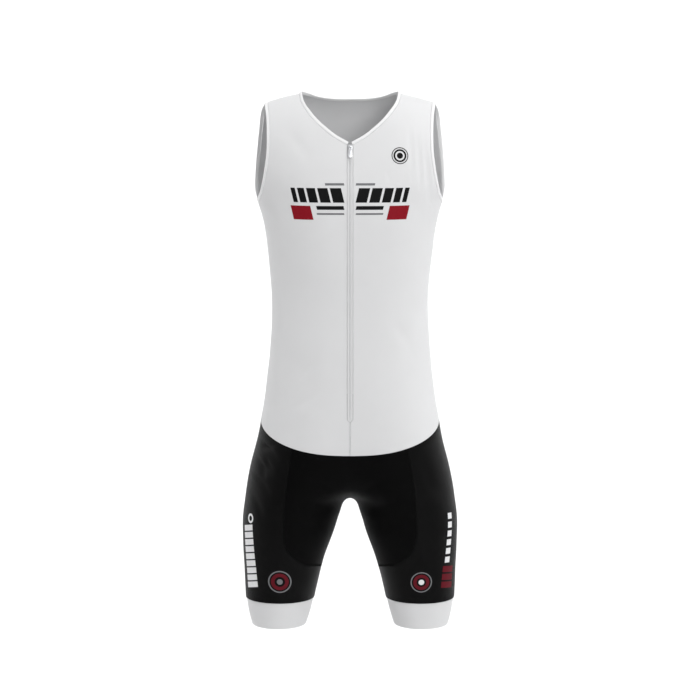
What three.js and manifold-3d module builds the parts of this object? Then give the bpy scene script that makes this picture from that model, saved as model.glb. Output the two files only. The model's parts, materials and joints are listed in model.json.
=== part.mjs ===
// Sleeveless triathlon suit in its worn shape with no wearer: cloth panels, bindings, zip and leg grippers.
// Millimetres, +Z up, the front faces -Y. The origin lies between the shoulders, where a wearer carries it.
// Left and right are the wearer's, so the left side lies at +X.
import * as THREE from 'three';
import { mergeVertices } from 'three/addons/utils/BufferGeometryUtils.js';
import Module from 'manifold-3d';

const wasm = await Module();
wasm.setup();

// Cloth and seams
const CLOTH = 1.2;
const GRIPPER_CLOTH = 1.6;
const SEAM_GAP = 0.32;

// Heights of the cut, measured at the side of the body
const HEM = -924;
const GRIPPER_SEAM = -876;
const INSERT_END = -809;
const WAIST_SIDE = -559;
const UNDERARM = -178;

// The waist seam lies lower in front and higher behind, by TILT, and both lie lower by DIP
const WAIST_TILT = 39;
const WAIST_DIP = 10;
const WAIST_FADE_TOP = -300;

// The lower end of the front insert dips towards the inseam, over a share of the thigh's front
const INSERT_DIP = 9;
const INSERT_DIP_SHARE = 0.3;
const INSERT_DIP_TOP = -730;
const INSERT_DIP_FOOT = -868;

// The shoulder line: a shallow arch over the neck that falls towards the arms
const RIDGE_TOP = 19.4;
const RIDGE_FALL = 0.00116;
const SHOULDER_POWER = 2.6;
const SIDE_NECK = 88;
const SHOULDER_TIP = 142;
const ARM_REACH = 150;

// Zip
const ZIP_HALF = 5;
const ZIP_TOP = -72;
const ZIP_END = -549.5;
const ZIP_POINT = 6;

// Bindings of the neck and the armholes, as a folded strip that stands proud of the cloth on both sides
const BINDING_WIDTH = 5.8;
const BINDING_PROUD = 0.4;
const BINDING_ROUND = 0.8;

// The neck binding stands up beside the neck, by LEAN at its place and less within its reach
const STAND = { lean: 0.73, place: 84, reach: 15 };

// One row for each level of the worn suit, from the leg hems to the shoulders.
// half: half width of the whole suit. lobe: distance of a leg's or a side's middle from the centre plane.
// front, back: how far the cloth stands before and behind the side line.
const SECTIONS = [
  { z: -930, half: 171.5, lobe: 125.3, front: 57, back: 53 },
  { z: -900, half: 179, lobe: 124.4, front: 61.5, back: 57.5 },
  { z: -884, half: 181.6, lobe: 123.8, front: 63.5, back: 59 },
  { z: -870, half: 184.2, lobe: 123.2, front: 66, back: 61 },
  { z: -813, half: 186.9, lobe: 117.5, front: 75, back: 71 },
  { z: -757, half: 188.9, lobe: 108.7, front: 85, back: 85 },
  { z: -728, half: 188.3, lobe: 104, front: 89, back: 94 },
  { z: -698, half: 184.8, lobe: 96.5, front: 93, back: 103 },
  { z: -672, half: 181, lobe: 78, front: 96, back: 110 },
  { z: -642, half: 175.1, lobe: 65.7, front: 99, back: 114 },
  { z: -600, half: 164, lobe: 54, front: 101.5, back: 111 },
  { z: -561, half: 156.3, lobe: 47.8, front: 102, back: 103 },
  { z: -508, half: 147.3, lobe: 42, front: 101, back: 92 },
  { z: -428, half: 138.8, lobe: 37, front: 98, back: 81 },
  { z: -349, half: 135.3, lobe: 36, front: 97, back: 79 },
  { z: -270, half: 141.9, lobe: 39.5, front: 102, back: 88 },
  { z: -217, half: 148.9, lobe: 43, front: 105, back: 96 },
  { z: -178, half: 159.5, lobe: 46, front: 105, back: 100 },
  { z: -146, half: 172, lobe: 50, front: 103, back: 101 },
  { z: -105, half: 181.4, lobe: 54, front: 99, back: 99 },
  { z: -60, half: 186, lobe: 57, front: 95, back: 96 },
  { z: 30, half: 188.5, lobe: 58, front: 90, back: 92 },
];
const LOBE_SHARPNESS = 3;

// Seam of the front insert of the shorts, down the thigh and round towards the inseam
const INSERT_SEAM = [
  { z: -809, x: 76 },
  { z: -798, x: 92 },
  { z: -785, x: 105.4 },
  { z: -772, x: 112.5 },
  { z: -753, x: 116 },
  { z: -728, x: 115.8 },
  { z: -667, x: 111.7 },
  { z: -600, x: 101.5 },
];

// Edges of the cloth under the bindings
const FRONT_NECK = [
  { z: -72, x: 5 },
  { z: -60, x: 27 },
  { z: -47, x: 44 },
  { z: -33, x: 60 },
  { z: -18, x: 73.5 },
  { z: -4, x: 83 },
  { z: 11, x: 88 },
];
const BACK_NECK = [
  { x: 0, z: -4.5 },
  { x: 30, z: -3.8 },
  { x: 55, z: 0 },
  { x: 75, z: 6 },
  { x: 88, z: 10.4 },
];
const FRONT_ARMHOLE = [
  { z: -178, x: 159.5 },
  { z: -170, x: 156.3 },
  { z: -157, x: 151.5 },
  { z: -118, x: 143 },
  { z: -80, x: 138 },
  { z: -30, x: 138.3 },
  { z: -4, x: 142 },
];
const BACK_ARMHOLE = [
  { z: -178, x: 159.5 },
  { z: -170, x: 160.6 },
  { z: -150, x: 161.6 },
  { z: -105, x: 158.9 },
  { z: -60, x: 153.9 },
  { z: -20, x: 148.8 },
  { z: -4, x: 142 },
];

// Columns round one half of the suit: front insert, outer front, back beside the neck, back of the shoulder
const INSERT_COLUMNS = 4;
const FRONT_COLUMNS = 8;
const NECK_COLUMNS = 4;
const BACK_COLUMNS = NECK_COLUMNS + FRONT_COLUMNS;
const TORSO_ROWS = 12;
const ROW_SAMPLES = 160;

// Heights of the rows of the shorts' own grid between its seams
const SHORTS_ROWS = [-853, -830, INSERT_END, -798, -785, -771, -753, -730, -714, -704];
const RISES_OVER_CROTCH = [4, 11, 22, 38, 60, 86, 112];
const GRIPPER_ROWS = [HEM, -908, -892, GRIPPER_SEAM];

// Heights of the rows from the underarm to the foot of the neckline, then angles over the shoulder
const ARMHOLE_ROWS = [-172, -164, -152, -136, -116, -94, ZIP_TOP];
const SHOULDER_ROWS = 8;

// Zip slider and pull tab, in the slope of the cloth at the slider
const SLIDER_HEIGHT = -76.5;
const SLIDER = { width: 9, neck: 5.6, length: 8.4, depth: 2.4, lift: 0.5 };
const BAIL = { inner: 1.25, outer: 2.35, width: 2.4, height: 1.15 };
const TAB = { width: 7.4, length: 19, thick: 1.3, slotWidth: 3.4, slotStart: 0.85, slotEnd: 2.9, head: 0.85 };

const COLOURS = {
  top: 0xe9eaec,
  insert: 0x17181a,
  shorts: 0x121315,
  gripper: 0xeceded,
  binding: 0xf0f1f2,
  zip: 0xd9dbde,
  metal: 0xd4d6d9,
};

// Value of a column at a height or a distance, on a smooth curve through the rows of a table
function alongTable(rows, from, to) {
  const slopes = rows.map((row, i) => {
    const before = rows[Math.max(i - 1, 0)];
    const after = rows[Math.min(i + 1, rows.length - 1)];
    return (after[to] - before[to]) / (after[from] - before[from]);
  });
  return (at) => {
    let i = 0;
    while (i < rows.length - 2 && at > rows[i + 1][from]) i += 1;
    const span = rows[i + 1][from] - rows[i][from];
    const t = THREE.MathUtils.clamp((at - rows[i][from]) / span, 0, 1);
    const rise = t * t * (3 - 2 * t);
    const bow = t * (1 - t) * span;
    const bend = bow * (slopes[i] * (1 - t) - slopes[i + 1] * t);
    return rows[i][to] + (rows[i + 1][to] - rows[i][to]) * rise + bend;
  };
}

const halfAt = alongTable(SECTIONS, 'z', 'half');
const lobeAt = alongTable(SECTIONS, 'z', 'lobe');
const frontAt = alongTable(SECTIONS, 'z', 'front');
const backAt = alongTable(SECTIONS, 'z', 'back');
const insertSeamAt = alongTable(INSERT_SEAM, 'z', 'x');
const frontNeckAt = alongTable(FRONT_NECK, 'z', 'x');
const backNeckAt = alongTable(BACK_NECK, 'x', 'z');
const frontArmholeAt = alongTable(FRONT_ARMHOLE, 'z', 'x');
const backArmholeAt = alongTable(BACK_ARMHOLE, 'z', 'x');

// Radius of each of the two lobes that gives the section its half width
function lobeRadius(half, lobe) {
  let radius = half - lobe;
  for (let i = 0; i < 12; i += 1) {
    const other = Math.exp((-4 * LOBE_SHARPNESS * half * lobe) / (radius * radius));
    radius = (half - lobe) / Math.sqrt(1 + Math.log(1 + other) / LOBE_SHARPNESS);
  }
  return radius;
}

const ridgeAt = (x) => RIDGE_TOP - RIDGE_FALL * x * x;
const centreAt = (z) => (backAt(z) - frontAt(z)) / 2;
const depthAt = (z) => (backAt(z) + frontAt(z)) / 2;

// Two round lobes that flow into each other: 1 at a lobe's middle, 0 on the section's outline
function sectionFullness(x, z) {
  const lobe = lobeAt(z);
  const radius = lobeRadius(halfAt(z), lobe);
  const near = Math.exp(-LOBE_SHARPNESS * ((x - lobe) / radius) ** 2);
  const far = Math.exp(-LOBE_SHARPNESS * ((x + lobe) / radius) ** 2);
  return 1 + Math.log(near + far) / LOBE_SHARPNESS;
}

// Falls from 1 under the arms to 0 on the shoulder line, where front and back meet
function shoulderFullness(x, z) {
  const rise = Math.max(0, (z - UNDERARM) / (ridgeAt(x) - UNDERARM));
  return 1 - rise ** SHOULDER_POWER;
}

// Point of the cloth's outer face; facing is -1 in front and 1 behind
function clothPoint(facing, x, z) {
  const fullness = Math.max(0, sectionFullness(x, z) * shoulderFullness(x, z));
  return new THREE.Vector3(x, centreAt(z) + facing * depthAt(z) * Math.sqrt(fullness), z);
}

// Outward direction of the cloth, from how fast the point would leave the form
function clothNormal(point) {
  const outside = (x, y, z) => ((y - centreAt(z)) / depthAt(z)) ** 2
    - sectionFullness(x, z) * shoulderFullness(x, z);
  const h = 0.05;
  const { x, y, z } = point;
  return new THREE.Vector3(
    outside(x + h, y, z) - outside(x - h, y, z),
    outside(x, y + h, z) - outside(x, y - h, z),
    outside(x, y, z + h) - outside(x, y, z - h),
  ).normalize();
}

// The place between two limits where a rising function passes zero
function rootBetween(low, high, rising) {
  let [a, b] = [low, high];
  for (let i = 0; i < 60; i += 1) {
    const middle = (a + b) / 2;
    if (rising(middle) < 0) a = middle;
    else b = middle;
  }
  return (a + b) / 2;
}

const CROTCH = rootBetween(-728, -672, (z) => sectionFullness(0, z));

// How far the level lines of the cloth lie under or over their height at the side
function waistFade(level) {
  if (level >= WAIST_SIDE) return 1 - THREE.MathUtils.smoothstep(level, WAIST_SIDE, WAIST_FADE_TOP);
  return THREE.MathUtils.smoothstep(level, CROTCH, WAIST_SIDE);
}

function waistDrop(facing, level, turn) {
  const lean = -facing * Math.cos(turn);
  return -waistFade(level) * (WAIST_TILT * lean + WAIST_DIP * lean * lean);
}

// A line of the cloth with its length measured, so that points can be spread evenly along it
class ClothLine {
  constructor(pointAt) {
    this.pointAt = pointAt;
    this.lengths = [0];
    this.points = [pointAt(0)];
    for (let i = 1; i <= ROW_SAMPLES; i += 1) {
      this.points.push(pointAt(i / ROW_SAMPLES));
      this.lengths.push(this.lengths[i - 1] + this.points[i].distanceTo(this.points[i - 1]));
    }
  }

  // Length from the start to where the test first turns from below to above zero
  lengthWhere(test) {
    const values = this.points.map(test);
    const i = values.findIndex((value) => value >= 0);
    if (i < 0) return this.lengths[ROW_SAMPLES];
    if (i === 0) return 0;
    const share = values[i - 1] / (values[i - 1] - values[i]);
    return this.lengths[i - 1] + share * (this.lengths[i] - this.lengths[i - 1]);
  }

  at(length) {
    if (length >= this.lengths[ROW_SAMPLES]) return this.pointAt(1);
    let i = 1;
    while (this.lengths[i] < length) i += 1;
    const share = (length - this.lengths[i - 1]) / (this.lengths[i] - this.lengths[i - 1]);
    return this.pointAt((i - 1 + share) / ROW_SAMPLES);
  }

  spread(start, end, shares) {
    return shares.map((share) => this.at(start + (end - start) * share));
  }

  get length() {
    return this.lengths[ROW_SAMPLES];
  }
}

const evenShares = (count) => Array.from({ length: count + 1 }, (_, i) => i / count);

// Level line of one half over the crotch, from the centre to the side
function trunkLine(facing, level) {
  return new ClothLine((u) => {
    const turn = (u * Math.PI) / 2;
    const z = level + (u === 1 ? 0 : waistDrop(facing, level, turn));
    if (u === 1) return new THREE.Vector3(halfAt(z), centreAt(z), z);
    return clothPoint(facing, halfAt(z) * Math.sin(turn), z);
  });
}

// How far a level line of the leg dips at the inseam
function insertDip(level) {
  const { smoothstep } = THREE.MathUtils;
  const over = 1 - smoothstep(level, INSERT_END, INSERT_DIP_TOP);
  return INSERT_DIP * over * smoothstep(level, INSERT_DIP_FOOT, INSERT_END);
}

// Level line of one half under the crotch, from the inseam to the side
function legLine(facing, level) {
  const dip = insertDip(level);
  const foot = level - dip;
  const inner = level === CROTCH ? 0 : rootBetween(0, lobeAt(foot), (x) => sectionFullness(x, foot));
  const outer = halfAt(level);
  return new ClothLine((u) => {
    const x = (inner + outer) / 2 - ((outer - inner) / 2) * Math.cos(u * Math.PI);
    const z = level - dip * (1 - THREE.MathUtils.smoothstep(u, 0, INSERT_DIP_SHARE));
    if (u === 0 || u === 1) return new THREE.Vector3(x, centreAt(z), z);
    return clothPoint(facing, x, z);
  });
}

// Line over the upper body: rise 0 is level with the underarm and rise 1 is the shoulder line
function shoulderLine(facing, rise) {
  const outer = halfAt(UNDERARM + rise * (ridgeAt(ARM_REACH) - UNDERARM));
  return new ClothLine((u) => {
    const x = outer * Math.sin((u * Math.PI) / 2);
    return clothPoint(facing, x, UNDERARM + rise * (ridgeAt(x) - UNDERARM));
  });
}

// Share of the front of the thigh that the insert covers at its lower end
const insertEndLine = legLine(-1, INSERT_END);
const INSERT_END_SHARE = insertEndLine.lengthWhere((p) => p.x - insertSeamAt(p.z)) / insertEndLine.length;

// One row of points round half of the shorts: front from the centre to the side, then back to the centre
function shortsRow(level) {
  const lineOf = level > CROTCH ? trunkLine : legLine;
  const front = lineOf(-1, level);
  const back = lineOf(1, level);
  const below = Math.max(0, (INSERT_END - level) / (INSERT_END - GRIPPER_SEAM));
  const seam = below > 0
    ? front.length * THREE.MathUtils.lerp(INSERT_END_SHARE, 0.5, Math.min(below, 1))
    : front.lengthWhere((p) => p.x - insertSeamAt(p.z));
  return [
    ...front.spread(0, seam, evenShares(INSERT_COLUMNS)),
    ...front.spread(seam, front.length, evenShares(FRONT_COLUMNS - INSERT_COLUMNS)).slice(1),
    ...back.spread(back.length, 0, evenShares(BACK_COLUMNS)).slice(1),
  ];
}

const SHORTS_LEVELS = [
  GRIPPER_SEAM,
  ...SHORTS_ROWS,
  CROTCH,
  ...RISES_OVER_CROTCH.map((rise) => CROTCH + rise),
  WAIST_SIDE,
];
const shortsGrid = SHORTS_LEVELS.map(shortsRow);
const gripperGrid = GRIPPER_ROWS.map(shortsRow);
const waistRow = shortsGrid[shortsGrid.length - 1];

// Shares of the waist row's length at which its points lie, so that the panels over it start from them
function sharesOf(points) {
  const lengths = [0];
  for (let i = 1; i < points.length; i += 1) {
    lengths.push(lengths[i - 1] + points[i].distanceTo(points[i - 1]));
  }
  return lengths.map((length) => length / lengths[lengths.length - 1]);
}

const FRONT_SHARES = sharesOf(waistRow.slice(0, FRONT_COLUMNS + 1));
const BACK_SHARES = evenShares(BACK_COLUMNS);

// Levels of the rows between the waist seam and the underarm, with one at the zip's end
const zipEndLevel = rootBetween(WAIST_SIDE, UNDERARM, (level) => level + waistDrop(-1, level, 0) - ZIP_END);
const torsoLevels = [
  WAIST_SIDE,
  (WAIST_SIDE + zipEndLevel) / 2,
  zipEndLevel,
  ...evenShares(TORSO_ROWS).map((share) => {
    const start = zipEndLevel + ZIP_POINT;
    return start + (UNDERARM - start) * share;
  }),
];

// Rises of the rows over the underarm, with one at the foot of the neckline
const riseAt = (z) => (z - UNDERARM) / (ridgeAt(ZIP_HALF) - UNDERARM);
const riseOfTurn = (turn) => Math.sin(turn) ** (2 / SHOULDER_POWER);
const neckTurn = Math.asin(riseAt(ZIP_TOP) ** (SHOULDER_POWER / 2));
const upperRises = [
  ...ARMHOLE_ROWS.map(riseAt),
  ...evenShares(SHOULDER_ROWS).slice(1).map((share) => {
    return share === 1 ? 1 : riseOfTurn(neckTurn + (Math.PI / 2 - neckTurn) * share);
  }),
];
const NECK_ROW = torsoLevels.length + ARMHOLE_ROWS.length - 1;
const ZIP_ROW = 3;

// Front panel of the top, from the centre or the neckline to the side seam or the armhole
function topFrontRows() {
  const lower = torsoLevels.map((level, row) => {
    const line = trunkLine(-1, level);
    const start = row < ZIP_ROW ? 0 : line.lengthWhere((p) => p.x - ZIP_HALF);
    return line.spread(start, line.length, FRONT_SHARES);
  });
  const upper = upperRises.map((rise, row) => {
    const line = shoulderLine(-1, rise);
    const underNeck = row < ARMHOLE_ROWS.length;
    const start = line.lengthWhere((p) => p.x - (underNeck ? ZIP_HALF : frontNeckAt(p.z)));
    const end = line.lengthWhere((p) => p.x - frontArmholeAt(p.z));
    return line.spread(start, end, FRONT_SHARES);
  });
  // The shoulder seam runs between its two named ends
  const seam = FRONT_SHARES.map((share) => {
    const x = SIDE_NECK + (SHOULDER_TIP - SIDE_NECK) * share;
    return clothPoint(-1, x, ridgeAt(x));
  });
  return [...lower, ...upper.slice(0, -1), seam];
}

// Outer edge of the back panel at one rise, where the armhole crosses it
function backArmholeX(rise) {
  let x = SHOULDER_TIP;
  for (let i = 0; i < 8; i += 1) x = backArmholeAt(UNDERARM + rise * (ridgeAt(x) - UNDERARM));
  return rise === 1 ? SHOULDER_TIP : x;
}

// Half of the back panel, from the centre back to the side seam or the armhole
function topBackRows(shoulderSeam) {
  const lower = torsoLevels.map((level) => {
    const line = trunkLine(1, level);
    return line.spread(0, line.length, BACK_SHARES);
  });
  const under = lower[lower.length - 1];
  const neck = new ClothLine((u) => clothPoint(1, SIDE_NECK * u, backNeckAt(SIDE_NECK * u)));
  const neckEdge = neck.spread(0, neck.length, evenShares(NECK_COLUMNS)).slice(0, -1);
  const top = [...neckEdge, ...shoulderSeam];
  const topRise = top.map((p) => (p.z - UNDERARM) / (ridgeAt(p.x) - UNDERARM));
  const upper = upperRises.map((rise) => {
    const armhole = backArmholeX(rise);
    return top.map((end, column) => {
      if (rise === 1) return end;
      const share = column / BACK_COLUMNS;
      const blend = THREE.MathUtils.lerp;
      const push = armhole - blend(under[BACK_COLUMNS].x, SHOULDER_TIP, rise);
      const x = blend(under[column].x, end.x, rise) + share * push;
      return clothPoint(1, x, UNDERARM + rise * topRise[column] * (ridgeAt(x) - UNDERARM));
    });
  });
  return [...lower, ...upper];
}

const frontGrid = topFrontRows();
const backGrid = topBackRows(frontGrid[frontGrid.length - 1]);

// Turns a closed surface's faces outward and gives it its normals
function closedGeometry(positions, triangles) {
  const points = positions.map((p) => p.toArray()).flat();
  let volume = 0;
  for (const [a, b, c] of triangles) {
    volume += positions[a].dot(new THREE.Vector3().crossVectors(positions[b], positions[c]));
  }
  const faces = volume > 0 ? triangles : triangles.map(([a, b, c]) => [a, c, b]);
  const geometry = new THREE.BufferGeometry();
  geometry.setAttribute('position', new THREE.Float32BufferAttribute(points, 3));
  geometry.setIndex(faces.flat());
  geometry.computeVertexNormals();
  return geometry;
}

// A sheet of cells on the cloth's outer face, which becomes a wall with its edges drawn in at the seams
class ClothSheet {
  constructor() {
    this.points = [];
    this.faces = [];
    this.known = new Map();
  }

  vertex(point, sign) {
    const key = [point.x * sign, point.y, point.z].map((value) => Math.round(value * 1e4) + 0).join(' ');
    if (!this.known.has(key)) {
      this.known.set(key, this.points.length);
      this.points.push(new THREE.Vector3(point.x * sign, point.y, point.z));
    }
    return this.known.get(key);
  }

  addFace(corners, sign) {
    const ids = corners.map((corner) => this.vertex(corner, sign));
    const face = ids.filter((id, i) => id !== ids[(i + 1) % ids.length]);
    this.faces.push(sign > 0 ? face : face.reverse());
  }

  // Cells between two rows and two columns of a grid, mirrored where sign is -1
  addCells(grid, sign, rows, columns) {
    for (let r = rows[0]; r < rows[1]; r += 1) {
      for (let c = columns[0]; c < columns[1]; c += 1) {
        this.addFace([grid[r][c], grid[r][c + 1], grid[r + 1][c + 1], grid[r + 1][c]], sign);
      }
    }
  }

  // Edges that only one face uses, in that face's direction
  openEdges() {
    const edges = new Map();
    for (const face of this.faces) {
      face.forEach((a, i) => {
        const b = face[(i + 1) % face.length];
        if (edges.has(`${b} ${a}`)) edges.delete(`${b} ${a}`);
        else edges.set(`${a} ${b}`, [a, b]);
      });
    }
    return [...edges.values()];
  }

  // Wall of the sheet: its outer face, an inner face and the rims between them
  wall(thick) {
    const normals = this.points.map(clothNormal);
    const edges = this.openEdges();
    const pulls = new Map();
    for (const [a, b] of edges) {
      const along = this.points[b].clone().sub(this.points[a]);
      for (const id of [a, b]) {
        const inward = new THREE.Vector3().crossVectors(normals[id], along).normalize();
        pulls.set(id, [...(pulls.get(id) ?? []), inward]);
      }
    }
    const drawn = this.points.map((point, id) => {
      const pull = pulls.get(id);
      if (!pull) return point.clone();
      const sum = new THREE.Vector3().addVectors(pull[0], pull[1]);
      return point.clone().addScaledVector(sum, SEAM_GAP / 2 / (1 + pull[0].dot(pull[1])));
    });
    const count = drawn.length;
    const inner = drawn.map((point, id) => point.clone().addScaledVector(normals[id], -thick));
    const triangles = [];
    for (const face of this.faces) {
      for (let i = 1; i < face.length - 1; i += 1) {
        triangles.push([face[0], face[i], face[i + 1]]);
        triangles.push([face[0] + count, face[i + 1] + count, face[i] + count]);
      }
    }
    for (const [a, b] of edges) {
      triangles.push([a, a + count, b + count], [a, b + count, b]);
    }
    return closedGeometry([...drawn, ...inner], triangles);
  }
}

// Binding along an edge of the cloth: a flat strip with a rounded free edge, carried from point to point
function bindingGeometry(edge, turn, closed, leanAt = () => 0) {
  const start = SEAM_GAP / 2;
  const inside = -CLOTH - BINDING_PROUD;
  const profile = [
    [start, BINDING_PROUD],
    [BINDING_WIDTH - BINDING_ROUND, BINDING_PROUD],
    [BINDING_WIDTH, BINDING_PROUD - BINDING_ROUND],
    [BINDING_WIDTH, inside + BINDING_ROUND],
    [BINDING_WIDTH - BINDING_ROUND, inside],
    [start, inside],
  ];
  const count = edge.length;
  const positions = edge.map((point, i) => {
    const before = edge[closed ? (i + count - 1) % count : Math.max(i - 1, 0)];
    const after = edge[closed ? (i + 1) % count : Math.min(i + 1, count - 1)];
    const normal = clothNormal(point);
    const into = point.clone().sub(before).normalize();
    const out = after.clone().sub(point).normalize();
    const along = into.add(out).normalize();
    const level = new THREE.Vector3().crossVectors(normal, along).normalize().multiplyScalar(turn);
    const lean = leanAt(point);
    const across = level.clone().multiplyScalar(Math.cos(lean)).addScaledVector(normal, Math.sin(lean));
    normal.multiplyScalar(Math.cos(lean)).addScaledVector(level, -Math.sin(lean));
    return profile.map(([width, height]) => {
      return point.clone().addScaledVector(across, width).addScaledVector(normal, height);
    });
  }).flat();
  const size = profile.length;
  const triangles = [];
  for (let i = 0; i < (closed ? count : count - 1); i += 1) {
    for (let k = 0; k < size; k += 1) {
      const [a, b] = [i * size + k, i * size + ((k + 1) % size)];
      const next = ((i + 1) % count) * size;
      const [c, d] = [next + ((k + 1) % size), next + k];
      triangles.push([a, b, c], [a, c, d]);
    }
  }
  if (!closed) {
    const last = (count - 1) * size;
    for (let k = 1; k < size - 1; k += 1) {
      triangles.push([0, k + 1, k], [last, last + k, last + k + 1]);
    }
  }
  return closedGeometry(positions, triangles);
}

// Closed solid of a three.js geometry, for cutting and joining
function solidOf(geometry) {
  const bare = geometry.clone();
  bare.deleteAttribute('normal');
  bare.deleteAttribute('uv');
  const merged = mergeVertices(bare, 1e-4);
  const vertProperties = new Float32Array(merged.attributes.position.array);
  const triVerts = new Uint32Array(merged.index.array);
  return new wasm.Manifold(new wasm.Mesh({ numProp: 3, vertProperties, triVerts }));
}

function geometryOf(solid) {
  const mesh = solid.getMesh();
  const geometry = new THREE.BufferGeometry();
  geometry.setAttribute('position', new THREE.BufferAttribute(mesh.vertProperties, 3));
  geometry.setIndex(new THREE.BufferAttribute(mesh.triVerts, 1));
  geometry.computeVertexNormals();
  return geometry;
}

// Flat outline drawn in X and Z, made thick along Y from the front face backwards
function plateGeometry(shape, thick, front, curveSegments = 8) {
  const geometry = new THREE.ExtrudeGeometry(shape, { depth: thick, bevelEnabled: false, curveSegments });
  geometry.rotateX(Math.PI / 2);
  geometry.translate(0, front + thick, 0);
  return geometry;
}

// Slider: a waisted plate on the zip with a round bail that holds the tab
function sliderGeometry() {
  const { width, neck, length, depth, lift } = SLIDER;
  const outline = new THREE.Shape();
  outline.moveTo(-neck / 2, -length / 2);
  outline.lineTo(neck / 2, -length / 2);
  outline.lineTo(width / 2, length * 0.1);
  outline.quadraticCurveTo(width / 2, length / 2, width * 0.24, length / 2);
  outline.lineTo(-width * 0.24, length / 2);
  outline.quadraticCurveTo(-width / 2, length / 2, -width / 2, length * 0.1);
  const plate = plateGeometry(outline, depth, -lift - depth, 4);
  const foot = BAIL.height + 0.4;
  const ring = new THREE.Shape();
  ring.moveTo(-BAIL.outer, -foot);
  ring.absarc(0, 0, BAIL.outer, Math.PI, 0, true);
  ring.lineTo(BAIL.outer, -foot);
  ring.lineTo(BAIL.inner, -foot);
  ring.absarc(0, 0, BAIL.inner, 0, Math.PI, false);
  ring.lineTo(-BAIL.inner, -foot);
  const bail = new THREE.ExtrudeGeometry(ring, { depth: BAIL.width, bevelEnabled: false, curveSegments: 8 });
  bail.translate(0, 0, -BAIL.width / 2);
  bail.rotateY(Math.PI / 2);
  bail.rotateX(Math.PI / 2);
  bail.translate(0, -lift - depth - BAIL.height, 0);
  return geometryOf(solidOf(plate).add(solidOf(bail)));
}

// Pull tab: a rounded tongue that hangs from its slot on the bail; its pivot is the local origin
function tabGeometry() {
  const { width, length, thick, slotWidth, slotStart, slotEnd, head } = TAB;
  const shoulder = 2.6;
  const shoulderEnd = slotEnd + 0.6;
  const outline = new THREE.Shape();
  outline.moveTo(-shoulder, head);
  outline.lineTo(-shoulder, -shoulderEnd);
  outline.lineTo(-width / 2, -slotEnd - 2.4);
  outline.absarc(0, -length + width / 2, width / 2, Math.PI, 2 * Math.PI, false);
  outline.lineTo(width / 2, -slotEnd - 2.4);
  outline.lineTo(shoulder, -shoulderEnd);
  outline.lineTo(shoulder, head);
  const slot = new THREE.Path();
  slot.moveTo(-slotWidth / 2, -slotStart);
  slot.lineTo(slotWidth / 2, -slotStart);
  slot.lineTo(slotWidth / 2, -slotEnd);
  slot.lineTo(-slotWidth / 2, -slotEnd);
  outline.holes.push(slot);
  return plateGeometry(outline, thick, -thick / 2, 6);
}

const suit = new THREE.Group();

function addPiece(name, geometry, color, roughness, metalness = 0) {
  const mesh = new THREE.Mesh(geometry, new THREE.MeshStandardMaterial({ color, roughness, metalness }));
  mesh.name = name;
  suit.add(mesh);
  return mesh;
}

const topRows = frontGrid.length - 1;
const shortsRows = shortsGrid.length - 1;
const allColumns = FRONT_COLUMNS + BACK_COLUMNS;
const insertRow = SHORTS_LEVELS.indexOf(INSERT_END);
const backSheet = new ClothSheet();
const insertSheet = new ClothSheet();
const backOutward = backGrid.map((row) => [...row].reverse());

for (const [side, sign] of [['left', 1], ['right', -1]]) {
  const front = new ClothSheet();
  front.addCells(frontGrid, sign, [0, topRows], [0, FRONT_COLUMNS]);
  addPiece(`top_front_${side}`, front.wall(CLOTH), COLOURS.top, 0.62);

  backSheet.addCells(backOutward, sign, [0, topRows], [0, BACK_COLUMNS]);
  insertSheet.addCells(shortsGrid, sign, [insertRow, shortsRows], [0, INSERT_COLUMNS]);

  const leg = new ClothSheet();
  leg.addCells(shortsGrid, sign, [0, insertRow], [0, allColumns]);
  leg.addCells(shortsGrid, sign, [insertRow, shortsRows], [INSERT_COLUMNS, allColumns]);
  addPiece(`shorts_leg_${side}`, leg.wall(CLOTH), COLOURS.shorts, 0.5);

  const gripper = new ClothSheet();
  gripper.addCells(gripperGrid, sign, [0, GRIPPER_ROWS.length - 1], [0, allColumns]);
  addPiece(`leg_gripper_${side}`, gripper.wall(GRIPPER_CLOTH), COLOURS.gripper, 0.58);

  // Armhole: up the front edge from the underarm to the shoulder tip, then down the back edge
  const underarmRow = torsoLevels.length - 1;
  const frontEdge = frontGrid.slice(underarmRow).map((row) => row[FRONT_COLUMNS]);
  const backEdge = backGrid.slice(underarmRow).map((row) => row[BACK_COLUMNS]);
  const armhole = [...frontEdge, ...backEdge.slice(1, -1).reverse()];
  const placed = armhole.map((p) => new THREE.Vector3(p.x * sign, p.y, p.z));
  addPiece(`armhole_binding_${side}`, bindingGeometry(placed, -sign, true), COLOURS.binding, 0.6);
}
addPiece('top_back', backSheet.wall(CLOTH), COLOURS.top, 0.62);
addPiece('shorts_front_insert', insertSheet.wall(CLOTH), COLOURS.insert, 0.5);

// Neck binding: up the left neckline, round the back and down the right
const leftNeck = [
  ...frontGrid.slice(NECK_ROW).map((row) => row[0]),
  ...backGrid[topRows].slice(0, NECK_COLUMNS).reverse(),
];
const rightNeck = leftNeck.slice(0, -1).map((p) => new THREE.Vector3(-p.x, p.y, p.z)).reverse();
const neckLean = (point) => STAND.lean * Math.exp(-(((Math.abs(point.x) - STAND.place) / STAND.reach) ** 2));
const neckEdge = [...leftNeck, ...rightNeck];
addPiece('neck_binding', bindingGeometry(neckEdge, 1, false, neckLean), COLOURS.binding, 0.6);

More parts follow.
